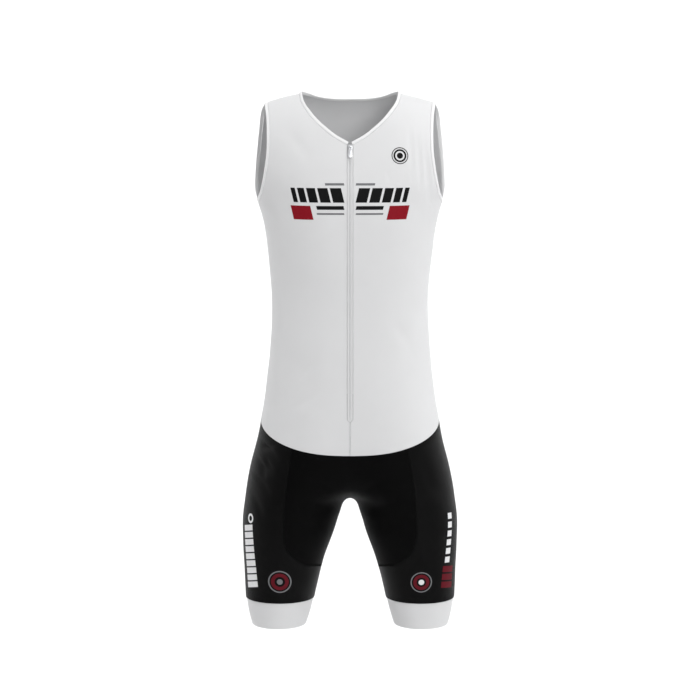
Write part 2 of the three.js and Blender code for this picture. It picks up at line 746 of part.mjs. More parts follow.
// Zip: a closed strip between the front panels that ends in a point over the centre seam
const zipSheet = new ClothSheet();
const zipGrid = frontGrid.slice(ZIP_ROW, NECK_ROW + 1).map((row, i) => {
  const level = ZIP_ROW + i;
  const torso = level < torsoLevels.length;
  const line = torso
    ? trunkLine(-1, torsoLevels[level])
    : shoulderLine(-1, upperRises[level - torsoLevels.length]);
  return [line.pointAt(0), row[0]];
});
for (const sign of [1, -1]) {
  zipSheet.addCells(zipGrid, sign, [0, zipGrid.length - 1], [0, 1]);
  zipSheet.addFace([frontGrid[ZIP_ROW - 1][0], zipGrid[0][1], zipGrid[0][0]], sign);
}
addPiece('zip_chain', zipSheet.wall(CLOTH), COLOURS.zip, 0.55);

// Slider and tab lie in the slope of the cloth: local -Y points away from it and local +Z runs up it
const zipGroup = new THREE.Group();
zipGroup.position.copy(clothPoint(-1, 0, SLIDER_HEIGHT));
const slope = clothNormal(zipGroup.position);
zipGroup.rotation.x = Math.atan2(-slope.z, -slope.y);
const slider = addPiece('zip_slider', sliderGeometry(), COLOURS.metal, 0.4, 0.3);
const tab = addPiece('zip_pull_tab', tabGeometry(), COLOURS.metal, 0.4, 0.3);
tab.position.y = -SLIDER.lift - SLIDER.depth - BAIL.height;
zipGroup.add(slider, tab);
suit.add(zipGroup);

export default suit;
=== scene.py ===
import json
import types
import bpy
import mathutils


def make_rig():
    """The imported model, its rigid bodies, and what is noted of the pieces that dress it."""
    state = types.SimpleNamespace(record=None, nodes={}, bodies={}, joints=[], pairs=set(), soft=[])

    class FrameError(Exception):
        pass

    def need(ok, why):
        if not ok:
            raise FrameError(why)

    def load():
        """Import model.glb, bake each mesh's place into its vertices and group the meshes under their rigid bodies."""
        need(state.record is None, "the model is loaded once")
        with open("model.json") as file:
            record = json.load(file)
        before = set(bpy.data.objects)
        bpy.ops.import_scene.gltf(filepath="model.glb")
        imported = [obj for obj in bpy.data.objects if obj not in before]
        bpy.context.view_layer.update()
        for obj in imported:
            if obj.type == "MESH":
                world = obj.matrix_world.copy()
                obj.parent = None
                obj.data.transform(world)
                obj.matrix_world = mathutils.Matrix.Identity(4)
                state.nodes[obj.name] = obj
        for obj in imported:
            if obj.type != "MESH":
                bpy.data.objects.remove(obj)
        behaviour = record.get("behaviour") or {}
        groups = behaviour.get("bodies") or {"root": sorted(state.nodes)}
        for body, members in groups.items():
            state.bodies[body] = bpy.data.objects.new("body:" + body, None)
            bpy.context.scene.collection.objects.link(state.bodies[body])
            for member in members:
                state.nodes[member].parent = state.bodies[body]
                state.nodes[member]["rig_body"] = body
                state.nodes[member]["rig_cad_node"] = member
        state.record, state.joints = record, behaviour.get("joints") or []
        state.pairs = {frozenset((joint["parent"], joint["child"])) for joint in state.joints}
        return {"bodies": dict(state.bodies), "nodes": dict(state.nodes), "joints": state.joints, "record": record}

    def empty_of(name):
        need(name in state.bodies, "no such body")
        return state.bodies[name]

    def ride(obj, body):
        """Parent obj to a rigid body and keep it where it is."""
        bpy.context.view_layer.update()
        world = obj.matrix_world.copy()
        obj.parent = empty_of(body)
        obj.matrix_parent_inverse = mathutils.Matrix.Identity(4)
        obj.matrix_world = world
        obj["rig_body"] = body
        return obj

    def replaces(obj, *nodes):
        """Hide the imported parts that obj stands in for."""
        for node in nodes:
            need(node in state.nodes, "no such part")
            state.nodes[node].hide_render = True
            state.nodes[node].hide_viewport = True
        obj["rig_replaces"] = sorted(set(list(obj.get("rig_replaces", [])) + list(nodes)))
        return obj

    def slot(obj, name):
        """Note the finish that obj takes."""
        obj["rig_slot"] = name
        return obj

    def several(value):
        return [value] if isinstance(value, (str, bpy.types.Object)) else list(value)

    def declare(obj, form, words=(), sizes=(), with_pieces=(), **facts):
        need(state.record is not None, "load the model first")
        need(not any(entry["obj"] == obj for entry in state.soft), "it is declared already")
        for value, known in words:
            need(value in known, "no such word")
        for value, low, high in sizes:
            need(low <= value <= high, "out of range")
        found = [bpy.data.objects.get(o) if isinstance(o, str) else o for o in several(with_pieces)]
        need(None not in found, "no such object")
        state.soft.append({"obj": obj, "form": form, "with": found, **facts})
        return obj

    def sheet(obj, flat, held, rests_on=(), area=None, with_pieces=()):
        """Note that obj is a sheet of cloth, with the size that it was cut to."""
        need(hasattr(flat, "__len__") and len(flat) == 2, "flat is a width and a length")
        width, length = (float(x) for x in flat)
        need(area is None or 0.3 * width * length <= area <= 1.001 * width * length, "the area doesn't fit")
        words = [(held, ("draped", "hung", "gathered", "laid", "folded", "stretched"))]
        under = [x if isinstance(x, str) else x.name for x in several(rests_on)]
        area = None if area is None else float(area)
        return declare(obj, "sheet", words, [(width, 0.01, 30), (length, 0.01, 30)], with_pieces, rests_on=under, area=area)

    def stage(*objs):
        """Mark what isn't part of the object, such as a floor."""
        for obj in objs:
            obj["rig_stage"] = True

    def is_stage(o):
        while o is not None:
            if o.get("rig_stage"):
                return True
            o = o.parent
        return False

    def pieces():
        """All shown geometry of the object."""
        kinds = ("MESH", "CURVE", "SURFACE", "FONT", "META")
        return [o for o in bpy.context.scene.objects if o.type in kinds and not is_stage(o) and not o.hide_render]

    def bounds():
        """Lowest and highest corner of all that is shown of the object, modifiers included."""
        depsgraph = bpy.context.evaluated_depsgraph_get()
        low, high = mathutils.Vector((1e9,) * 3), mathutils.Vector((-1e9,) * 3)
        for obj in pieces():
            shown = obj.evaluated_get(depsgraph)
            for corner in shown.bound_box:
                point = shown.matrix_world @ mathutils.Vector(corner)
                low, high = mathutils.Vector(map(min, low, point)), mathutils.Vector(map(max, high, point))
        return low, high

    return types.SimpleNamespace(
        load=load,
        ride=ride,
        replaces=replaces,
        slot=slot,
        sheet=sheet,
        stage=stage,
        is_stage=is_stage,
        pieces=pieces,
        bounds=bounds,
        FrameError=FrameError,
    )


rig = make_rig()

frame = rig.load()
"""Looks of a sleeveless triathlon suit in its worn shape.

Every cloth piece is worked out on one smooth form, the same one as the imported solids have, as whole numpy
arrays: lines of the form are measured, points are spread along them between two seams, and the cells between
the points become a closed wall. Units are metres, +Z is up and the front faces -Y. Left and right are the
wearer's, so the left side lies at +X.
"""
import json
import logging
import math
from dataclasses import dataclass
from enum import Enum
from typing import Callable, Sequence

import bmesh
import bpy
import numpy as np
from mathutils import Vector
from numpy.typing import NDArray

Array = NDArray[np.float64]
Ints = NDArray[np.int64]
Piece = bpy.types.Object
Material = bpy.types.Material
Socket = bpy.types.NodeSocket
Laid = list[tuple[Array, Array]]
log = logging.getLogger("triathlon_suit")

SUIT = "suit"
PULL_TAB = "pull_tab"
SIZE_FILE = "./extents.json"
WELD = 2e-6


class Facing(Enum):
    """Side of the body that a point of the cloth lies on."""

    FRONT = -1.0
    BACK = 1.0


class Side(Enum):
    """The wearer's side, with the sign of X on it."""

    LEFT = 1.0
    RIGHT = -1.0

    @property
    def word(self) -> str:
        """Name of the side as the nodes spell it."""
        return self.name.lower()


def smooth_step(value: Array, low: float, high: float) -> Array:
    """Rise from 0 at low to 1 at high: t squared times (3 minus 2 t), with t the share of the way."""
    t = np.clip((value - low) / (high - low), 0.0, 1.0)
    return t * t * (3.0 - 2.0 * t)


def unit(directions: Array) -> Array:
    """Directions made unit long."""
    return directions / np.linalg.norm(directions, axis=-1, keepdims=True)


@dataclass(frozen=True)
class Curve:
    """Smooth curve through the rows of a short table, level with its slopes at each row.

    Attributes:
        at: Places of the rows, rising.
        value: Values of the rows.
    """

    at: tuple[float, ...]
    value: tuple[float, ...]

    def __call__(self, place: Array) -> Array:
        """Value at a place: a cubic between two rows that keeps the mean slope of the rows beside each.

        Args:
            place: Places to look at, of any shape.

        Returns:
            Values of the same shape.
        """
        at, value = np.array(self.at), np.array(self.value)
        before = np.maximum(np.arange(len(at)) - 1, 0)
        after = np.minimum(np.arange(len(at)) + 1, len(at) - 1)
        slope = (value[after] - value[before]) / (at[after] - at[before])
        i = np.clip(np.searchsorted(at, place, side="left") - 1, 0, len(at) - 2)
        span = at[i + 1] - at[i]
        t = np.clip((place - at[i]) / span, 0.0, 1.0)
        rise = t * t * (3.0 - 2.0 * t)
        bend = t * (1.0 - t) * span * (slope[i] * (1.0 - t) - slope[i + 1] * t)
        return value[i] + (value[i + 1] - value[i]) * rise + bend


def column(rows: Sequence[Sequence[float]], key: int, value: int) -> Curve:
    """Curve of one column of a table over another, given by their numbers, with its places rising."""
    ordered = sorted(rows, key=lambda row: row[key])
    return Curve(tuple(row[key] for row in ordered), tuple(row[value] for row in ordered))


@dataclass(frozen=True)
class Cut:
    """Heights and edges of the suit's cut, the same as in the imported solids."""

    hem: float = -0.924
    gripper_seam: float = -0.876
    insert_end: float = -0.809
    waist_side: float = -0.559
    underarm: float = -0.178
    waist_tilt: float = 0.039
    waist_dip: float = 0.010
    waist_fade_top: float = -0.300
    insert_dip: float = 0.009
    insert_dip_share: float = 0.3
    insert_dip_top: float = -0.730
    insert_dip_foot: float = -0.868
    ridge_top: float = 0.0194
    ridge_fall: float = 1.16
    shoulder_power: float = 2.6
    side_neck: float = 0.088
    shoulder_tip: float = 0.142
    arm_reach: float = 0.150
    zip_half: float = 0.005
    zip_top: float = -0.072
    zip_end: float = -0.5495
    zip_point: float = 0.006
    # Height, half width, lobe's middle, reach in front, reach behind
    sections: tuple[tuple[float, float, float, float, float], ...] = (
        (-0.930, 0.1715, 0.1253, 0.0570, 0.0530),
        (-0.900, 0.1790, 0.1244, 0.0615, 0.0575),
        (-0.884, 0.1816, 0.1238, 0.0635, 0.0590),
        (-0.870, 0.1842, 0.1232, 0.0660, 0.0610),
        (-0.813, 0.1869, 0.1175, 0.0750, 0.0710),
        (-0.757, 0.1889, 0.1087, 0.0850, 0.0850),
        (-0.728, 0.1883, 0.1040, 0.0890, 0.0940),
        (-0.698, 0.1848, 0.0965, 0.0930, 0.1030),
        (-0.672, 0.1810, 0.0780, 0.0960, 0.1100),
        (-0.642, 0.1751, 0.0657, 0.0990, 0.1140),
        (-0.600, 0.1640, 0.0540, 0.1015, 0.1110),
        (-0.561, 0.1563, 0.0478, 0.1020, 0.1030),
        (-0.508, 0.1473, 0.0420, 0.1010, 0.0920),
        (-0.428, 0.1388, 0.0370, 0.0980, 0.0810),
        (-0.349, 0.1353, 0.0360, 0.0970, 0.0790),
        (-0.270, 0.1419, 0.0395, 0.1020, 0.0880),
        (-0.217, 0.1489, 0.0430, 0.1050, 0.0960),
        (-0.178, 0.1595, 0.0460, 0.1050, 0.1000),
        (-0.146, 0.1720, 0.0500, 0.1030, 0.1010),
        (-0.105, 0.1814, 0.0540, 0.0990, 0.0990),
        (-0.060, 0.1860, 0.0570, 0.0950, 0.0960),
        (0.030, 0.1885, 0.0580, 0.0900, 0.0920),
    )
    lobe_sharpness: float = 3.0
    # Height and distance from the centre plane
    insert_seam: tuple[tuple[float, float], ...] = (
        (-0.809, 0.0760), (-0.798, 0.0920), (-0.785, 0.1054), (-0.772, 0.1125),
        (-0.753, 0.1160), (-0.728, 0.1158), (-0.667, 0.1117), (-0.600, 0.1015),
    )
    front_neck: tuple[tuple[float, float], ...] = (
        (-0.072, 0.005), (-0.060, 0.027), (-0.047, 0.044), (-0.033, 0.060),
        (-0.018, 0.0735), (-0.004, 0.083), (0.011, 0.088),
    )
    back_neck: tuple[tuple[float, float], ...] = (
        (-0.0045, 0.0), (-0.0038, 0.030), (0.0, 0.055), (0.006, 0.075), (0.0104, 0.088),
    )
    front_armhole: tuple[tuple[float, float], ...] = (
        (-0.178, 0.1595), (-0.170, 0.1563), (-0.157, 0.1515), (-0.118, 0.143),
        (-0.080, 0.138), (-0.030, 0.1383), (-0.004, 0.142),
    )
    back_armhole: tuple[tuple[float, float], ...] = (
        (-0.178, 0.1595), (-0.170, 0.1606), (-0.150, 0.1616), (-0.105, 0.1589),
        (-0.060, 0.1539), (-0.020, 0.1488), (-0.004, 0.142),
    )


class SuitForm:
    """The smooth outer face that all of the suit's cloth lies on.

    A level section is two round lobes that flow into one above the crotch and part into two legs under it.
    Over the underarms the depth falls to nothing on the shoulder line, where front and back meet.
    """

    def __init__(self, cut: Cut) -> None:
        """Read the cut's tables.

        Args:
            cut: Heights, widths and edges of the suit.
        """
        self.cut = cut
        self.half = column(cut.sections, 0, 1)
        self.lobe = column(cut.sections, 0, 2)
        self.front = column(cut.sections, 0, 3)
        self.back = column(cut.sections, 0, 4)
        self.insert_x = column(cut.insert_seam, 0, 1)
        self.front_neck_x = column(cut.front_neck, 0, 1)
        self.back_neck_z = column(cut.back_neck, 1, 0)
        self.front_armhole_x = column(cut.front_armhole, 0, 1)
        self.back_armhole_x = column(cut.back_armhole, 0, 1)
        self.crotch = self.root(lambda z: self.section_fullness(np.zeros_like(z), z), -0.728, -0.672)

    @staticmethod
    def root(rising: Callable[[Array], Array], low: float | Array, high: float | Array) -> Array:
        """Place between two limits where a rising function passes zero, by halving.

        Args:
            rising: Function of arrays.
            low: Lower limit.
            high: Upper limit.

        Returns:
            The place, of the limits' shape.
        """
        a, b = np.broadcast_arrays(np.asarray(low, float), np.asarray(high, float))
        for _ in range(60):
            middle = (a + b) / 2.0
            under = rising(middle) < 0.0
            a, b = np.where(under, middle, a), np.where(under, b, middle)
        return (a + b) / 2.0

    def ridge(self, x: Array) -> Array:
        """Height of the shoulder line: its top less a share of the distance from the centre squared."""
        return self.cut.ridge_top - self.cut.ridge_fall * x * x

    def centre(self, z: Array) -> Array:
        """Y of the side line at a height."""
        return (self.back(z) - self.front(z)) / 2.0

    def depth(self, z: Array) -> Array:
        """Half of the form's depth at a height."""
        return (self.back(z) + self.front(z)) / 2.0

    def section_fullness(self, x: Array, z: Array) -> Array:
        """Fullness of a level section.

        It is 1 plus the logarithm of two bell curves' sum over their sharpness. The bells' radius is found by
        repeated use of the rule that the fullness is 0 at the half width.

        Args:
            x: Distance from the centre plane.
            z: Height.

        Returns:
            About 1 at a lobe's middle and 0 on the outline.
        """
        k = self.cut.lobe_sharpness
        half, lobe = self.half(z), self.lobe(z)
        radius = half - lobe
        for _ in range(12):
            other = np.exp(-4.0 * k * half * lobe / radius**2)
            radius = (half - lobe) / np.sqrt(1.0 + np.log1p(other) / k)
        near = np.exp(-k * ((x - lobe) / radius) ** 2)
        far = np.exp(-k * ((x + lobe) / radius) ** 2)
        return 1.0 + np.log(near + far) / k

    def shoulder_fullness(self, x: Array, z: Array) -> Array:
        """Fall from 1 at the underarm to 0 on the shoulder line: 1 less the rise to a power."""
        rise = np.maximum(0.0, (z - self.cut.underarm) / (self.ridge(x) - self.cut.underarm))
        return 1.0 - rise**self.cut.shoulder_power

    def cloth(self, facing: Facing, x: Array, z: Array) -> Array:
        """Points of the outer face.

        Y is the side line's, less or plus the half depth times the root of both fullnesses' product.

        Args:
            facing: Front or back.
            x: Distance from the centre plane.
            z: Height.

        Returns:
            Points, in the last axis.
        """
        x, z = np.broadcast_arrays(x, z)
        fullness = np.maximum(0.0, self.section_fullness(x, z) * self.shoulder_fullness(x, z))
        y = self.centre(z) + facing.value * self.depth(z) * np.sqrt(fullness)
        return np.stack([x, y, z], axis=-1)

    def normal(self, points: Array) -> Array:
        """Outward directions: the slope of ((y - centre) / depth) squared less the fullness, made unit long.

        Args:
            points: Points near the outer face, in the last axis.

        Returns:
            Directions of the same shape.
        """

        def outside(p: Array) -> Array:
            """Below zero inside the form."""
            x, y, z = p[..., 0], p[..., 1], p[..., 2]
            level = ((y - self.centre(z)) / self.depth(z)) ** 2
            return level - self.section_fullness(x, z) * self.shoulder_fullness(x, z)

        step = 5e-5
        slopes = [outside(points + step * axis) - outside(points - step * axis) for axis in np.eye(3)]
        return unit(np.stack(slopes, axis=-1))

    def waist_drop(self, facing: Facing, level: Array, turn: Array) -> Array:
        """How far a level line lies over its height at the side, at a turn round the body.

        The waist seam leans: lower in front, higher behind. The lean fades up the top and down to the crotch.

        Args:
            facing: Front or back.
            level: Height at the side.
            turn: Turn from the centre, a quarter turn at the side.

        Returns:
            Height to add.
        """
        cut = self.cut
        up = 1.0 - smooth_step(level, cut.waist_side, cut.waist_fade_top)
        down = smooth_step(level, float(self.crotch), cut.waist_side)
        fade = np.where(level >= cut.waist_side, up, down)
        lean = -facing.value * np.cos(turn)
        return -fade * (cut.waist_tilt * lean + cut.waist_dip * lean * lean)

    def trunk_lines(self, facing: Facing, levels: Array) -> "ClothLines":
        """Level lines of one half over the crotch, from the centre to the side."""

        def points(u: Array) -> Array:
            """Points at shares of a quarter turn round the body."""
            turn = u * math.pi / 2.0
            level = np.broadcast_to(levels[:, None], u.shape)
            z = level + np.where(u >= 1.0, 0.0, self.waist_drop(facing, level, turn))
            found = self.cloth(facing, self.half(z) * np.sin(turn), z)
            found[..., 1] = np.where(u >= 1.0, self.centre(z), found[..., 1])
            return found

        return ClothLines(points, len(levels))

    def insert_dip(self, levels: Array) -> Array:
        """How far the level lines of a leg dip at the inseam, so that the insert's lower end does."""
        cut = self.cut
        over = 1.0 - smooth_step(levels, cut.insert_end, cut.insert_dip_top)
        return cut.insert_dip * over * smooth_step(levels, cut.insert_dip_foot, cut.insert_end)

    def leg_lines(self, facing: Facing, levels: Array) -> "ClothLines":
        """Level lines of one leg, from the inseam to the side."""
        dip = self.insert_dip(levels)
        foot = levels - dip
        inner = self.root(lambda x: self.section_fullness(x, foot), np.zeros_like(foot), self.lobe(foot))
        inner = np.where(levels >= self.crotch, 0.0, inner)[:, None]
        outer = self.half(levels)[:, None]

        def points(u: Array) -> Array:
            """Points at shares of a half turn round the thigh's front or back."""
            x = (inner + outer) / 2.0 - (outer - inner) / 2.0 * np.cos(u * math.pi)
            z = levels[:, None] - dip[:, None] * (1.0 - smooth_step(u, 0.0, self.cut.insert_dip_share))
            found = self.cloth(facing, x, z)
            ends = (u <= 0.0) | (u >= 1.0)
            found[..., 1] = np.where(ends, self.centre(z), found[..., 1])
            return found

        return ClothLines(points, len(levels))

    def shoulder_lines(self, facing: Facing, rises: Array) -> "ClothLines":
        """Lines over the upper body: rise 0 is level with the underarm, rise 1 is the shoulder line."""
        cut = self.cut
        outer = self.half(cut.underarm + rises * (self.ridge(cut.arm_reach) - cut.underarm))[:, None]

        def points(u: Array) -> Array:
            """Points at shares of a quarter turn towards the armhole."""
            x = outer * np.sin(u * math.pi / 2.0)
            return self.cloth(facing, x, cut.underarm + rises[:, None] * (self.ridge(x) - cut.underarm))

        return ClothLines(points, len(rises))


class ClothLines:
    """Measured lines of the cloth, one to a row, along which points are spread by length."""

    SAMPLES = 240

    def __init__(self, points: Callable[[Array], Array], rows: int) -> None:
        """Walk along the lines and add up their lengths.

        Args:
            points: Gives the points for an array of ways along the lines, one row to a line, from 0 to 1.
            rows: How many lines there are.
        """
        self.points_at = points
        ways = np.broadcast_to(np.linspace(0.0, 1.0, self.SAMPLES + 1), (rows, self.SAMPLES + 1))
        self.ways = ways
        self.points = points(ways)
        steps = np.linalg.norm(np.diff(self.points, axis=1), axis=-1)
        self.lengths = np.concatenate([np.zeros((rows, 1)), np.cumsum(steps, axis=1)], axis=1)

    @property
    def whole(self) -> Array:
        """Whole length of each line."""
        return self.lengths[:, -1]

    def length_where(self, values: Array) -> Array:
        """Length at which values along the lines first turn from under to over zero.

        Args:
            values: One value for each sample of each line.

        Returns:
            One length for each line, its whole length where the values stay under zero.
        """
        over = values >= 0.0
        first = np.where(over.any(axis=1), over.argmax(axis=1), self.SAMPLES)
        last = np.maximum(first - 1, 0)
        row = np.arange(len(values))
        low, high = values[row, last], values[row, first]
        share = np.where(over.any(axis=1) & (first > 0), low / np.where(low == high, 1.0, low - high), 1.0)
        share = np.where(first == 0, 0.0, np.clip(share, 0.0, 1.0))
        return self.lengths[row, last] + share * (self.lengths[row, first] - self.lengths[row, last])

    def spread(self, lengths: Array) -> Array:
        """Points of the cloth at given lengths along each line.

        Args:
            lengths: One row of lengths to a line.

        Returns:
            Points, in the last axis.
        """
        inside = np.clip(lengths, 0.0, self.whole[:, None])
        high = np.clip((self.lengths[:, :, None] < inside[:, None, :]).sum(axis=1), 1, self.SAMPLES)
        row = np.arange(len(lengths))[:, None]
        low_length, high_length = self.lengths[row, high - 1], self.lengths[row, high]
        share = (inside - low_length) / (high_length - low_length)
        share = np.where(inside >= self.whole[:, None], 1.0, share)
        way = (high - 1 + share) / self.SAMPLES
        return self.points_at(np.where(inside >= self.whole[:, None], 1.0, way))


def seam_lengths(start: Array, end: Array, count: int, near: Sequence[float]) -> Array:
    """Lengths between two seams: close together beside each seam, even between.

    Args:
        start: Length at the first seam, one for each line.
        end: Length at the second seam.
        count: Number of even steps between.
        near: Distances from a seam of the close points.

    Returns:
        One row of lengths to a line.
    """
    start, end = start[:, None], end[:, None]
    span = np.maximum(end - start, 1e-6)
    scale = np.minimum(1.0, span / (4.0 * max(near)))
    close = np.array(near)[None, :] * scale
    edge = close[:, -1:]
    middle = start + edge + (span - 2.0 * edge) * np.linspace(0.0, 1.0, count + 1)[None, 1:-1]
    return np.concatenate([start, start + close, middle, end - close[:, ::-1], end], axis=1)


@dataclass(frozen=True)
class Crease:
    """One soft trough in the cloth, from one place to another.

    Attributes:
        facing: Front or back.
        start: X and Z of its first end.
        end: X and Z of its last end.
        width: Half of its breadth.
        deep: Depth in its middle, below zero for a ridge.
        bow: How far its middle lies to its left.
    """

    facing: Facing
    start: tuple[float, float]
    end: tuple[float, float]
    width: float
    deep: float
    bow: float = 0.0


class Drape:
    """Creases of the worn suit, which all pieces on the cloth follow."""

    SIDE_BLEND = 0.012
    # Height and reach of the step over the gripper seam and of the hollow under it
    STEP, STEP_REACH = 0.0009, 0.007
    HOLLOW, HOLLOW_REACH = 0.0003, 0.012
    # Height and reach of the drawn-in waves beside the neckline and the zip
    NECK_PUCKER, NECK_REACH = 0.00012, 0.007
    ZIP_PUCKER, ZIP_REACH = 0.00009, 0.009
    WAVE, FINER_WAVE = 0.00045, 0.00018

    def __init__(self, form: SuitForm, creases: Sequence[Crease]) -> None:
        """Keep the smooth form and its listed troughs and ridges."""
        self.form = form
        self.creases = tuple(creases)

    def relief(self, points: Array) -> Array:
        """Height over the smooth form: the sum of the creases and a faint unevenness of long waves.

        A crease's depth falls off as a bell curve across it and as a sine squared along it.

        Args:
            points: Points of the smooth form.

        Returns:
            Heights, of the points' shape without the last axis.
        """
        x, y, z = points[..., 0], points[..., 1], points[..., 2]
        total = np.zeros(x.shape)
        behind = smooth_step(y - self.form.centre(z), -self.SIDE_BLEND, self.SIDE_BLEND)
        for crease in self.creases:
            start, end = np.array(crease.start), np.array(crease.end)
            run = end - start
            length = float(np.hypot(*run))
            along_x, along_z = run / length
            t = ((x - start[0]) * along_x + (z - start[1]) * along_z) / length
            aside = -(x - start[0]) * along_z + (z - start[1]) * along_x
            inside = np.clip(t, 0.0, 1.0)
            aside = aside - crease.bow * 4.0 * inside * (1.0 - inside)
            bell = np.exp(-((aside / crease.width) ** 2))
            swell = np.sin(math.pi * inside) ** 2
            side = behind if crease.facing is Facing.BACK else 1.0 - behind
            total -= crease.deep * bell * swell * side
        cut = self.form.cut
        from_seam = z - cut.gripper_seam
        step = self.STEP * np.exp(-np.maximum(from_seam, 0.0) / self.STEP_REACH)
        hollow = -self.HOLLOW * np.exp(np.minimum(from_seam, 0.0) / self.HOLLOW_REACH)
        total += np.where(from_seam > 0.0, step, hollow)
        total += (1.0 - behind) * self.puckers(np.abs(x), x, z)
        waves = np.sin(31.0 * x + 17.0 * z + 1.3) * np.sin(23.0 * z - 11.0 * y + 0.4)
        finer = np.sin(67.0 * z + 43.0 * x) * np.sin(59.0 * x - 37.0 * z + 2.1)
        return total + self.WAVE * waves + self.FINER_WAVE * finer

    def puckers(self, away: Array, x: Array, z: Array) -> Array:
        """Small drawn-in waves of the front along the neckline and the zip, which fade away from them.

        Args:
            away: Distance from the centre plane.
            x: X, so that both sides differ.
            z: Height.

        Returns:
            Heights.
        """
        form = self.form
        from_neck = np.maximum(0.0, away - form.front_neck_x(z)) * 0.65
        by_neck = np.exp(-from_neck / self.NECK_REACH) * smooth_step(z, -0.085, -0.060)
        from_zip = np.maximum(0.0, away - form.cut.zip_half)
        by_zip = np.exp(-from_zip / self.ZIP_REACH) * (1.0 - smooth_step(z, -0.080, -0.066))
        neck_wave = np.sin(x * 610.0 + z * 190.0) + 0.6 * np.sin(x * 1010.0 - z * 240.0 + 1.0)
        zip_wave = np.sin(z * 330.0 + x * 24.0) + 0.7 * np.sin(z * 527.0 - x * 31.0 + 0.7)
        return self.NECK_PUCKER * by_neck * neck_wave + self.ZIP_PUCKER * by_zip * zip_wave

    def lay(self, points: Array) -> tuple[Array, Array]:
        """Creased points for points of the smooth form, with the outward directions there."""
        normals = self.form.normal(points)
        return points + normals * self.relief(points)[..., None], normals


@dataclass
class Wall:
    """Thickness of a piece of cloth and how its edges are drawn in and rounded.

    Attributes:
        thick: Thickness.
        gap: Half of the gap to the next piece.
        bend: Radius of the rounded edges.
        lift: Height of the outer face over the form.
    """

    thick: float = 0.0012
    gap: float = 0.00016
    bend: float = 0.00048
    lift: float = 0.0


class Shell:
    """Grids of cloth that become one closed wall."""

    def __init__(self, drape: "Drape", wall: Wall) -> None:
        """Start an empty piece.

        Args:
            drape: The creased form.
            wall: Its thickness and edges.
        """
        self.drape = drape
        self.wall = wall
        self.points: list[Array] = []
        self.marks: list[Array] = []
        self.seams: list[Array] = []
        self.faces: list[Ints] = []
        self.count = 0

    def add(self, patch: "Patch", side: Side = Side.LEFT) -> None:
        """Add a grid of the left half, or its mirror image.

        Args:
            patch: The grid. Its columns run to the wearer's left and on round to the back.
            side: RIGHT mirrors it in the centre plane.
        """
        sign = np.array([side.value, 1.0, 1.0])
        rows, columns = patch.points.shape[:2]
        ids = self.count + np.arange(rows * columns).reshape(rows, columns)
        cells = np.stack([ids[:-1, :-1], ids[:-1, 1:], ids[1:, 1:], ids[1:, :-1]], axis=-1)
        cells = cells.reshape(-1, 4)
        self.points.append((patch.points * sign).reshape(-1, 3))
        self.marks.append((patch.marks * sign[:2]).reshape(-1, 2))
        self.seams.append(patch.seam.reshape(-1))
        self.faces.append(cells if side is Side.LEFT else cells[:, ::-1])
        self.count += rows * columns

    def mesh(self, name: str) -> Piece:
        """Closed wall: the outer face, the inner face under it and rims along the open edges.

        Points at one place are one vertex, and cells without area are left out. An edge is open where no
        other cell uses it the other way round. Its points are drawn into the piece by the gap, along the mean
        of the two inward directions there. Near a seam both faces sink on a quarter circle.

        Args:
            name: Name of the piece.

        Returns:
            The new piece.
        """
        wall = self.wall
        points, faces = np.concatenate(self.points), np.concatenate(self.faces)
        marks, seams = np.concatenate(self.marks), np.concatenate(self.seams)
        keys = np.round(points / WELD).astype(np.int64)
        _, first, place = np.unique(keys, axis=0, return_index=True, return_inverse=True)
        place = place.reshape(-1)
        corners = place[faces]
        whole = (corners != np.roll(corners, 1, axis=1)).sum(axis=1) >= 3
        corners, faces = corners[whole], faces[whole]
        total = len(first)
        seam = np.full(total, 1.0)
        np.minimum.at(seam, place, seams)
        smooth = points[first]
        normals = self.drape.form.normal(smooth)
        tails, heads = corners.reshape(-1), np.roll(corners, -1, axis=1).reshape(-1)
        real = tails != heads
        way, back = tails * total + heads, heads * total + tails
        rim = np.flatnonzero(real & ~np.isin(way, back[real]))
        a, b = tails[rim], heads[rim]
        along = smooth[b] - smooth[a]
        pull = np.zeros_like(smooth)
        for ends in (a, b):
            np.add.at(pull, ends, unit(np.cross(normals[ends], along)))
        size = (pull * pull).sum(axis=-1, keepdims=True)
        smooth = smooth + np.where(size > 0.3, pull * 2.0 * wall.gap / np.maximum(size, 0.3), 0.0)
        smooth, normals = self.drape.lay(smooth)
        inside = np.clip((seam - wall.gap) / wall.bend, 0.0, 1.0)
        sink = wall.bend * 0.9 * (1.0 - np.sqrt(np.maximum(0.0, 1.0 - (1.0 - inside) ** 2)))
        outer = smooth + normals * (wall.lift - sink)[:, None]
        inner = smooth + normals * (wall.lift - wall.thick + sink)[:, None]
        walls = np.stack([a, a + total, b + total, b], axis=-1)
        mark_a, mark_b = faces.reshape(-1)[rim], np.roll(faces, -1, axis=1).reshape(-1)[rim]
        all_faces = np.concatenate([corners, corners[:, ::-1] + total, walls])
        rim_marks = np.stack([mark_a, mark_a, mark_b, mark_b], axis=-1)
        all_marks = np.concatenate([faces, faces[:, ::-1], rim_marks])
        return build_mesh(name, np.concatenate([outer, inner]), all_faces, marks[all_marks])


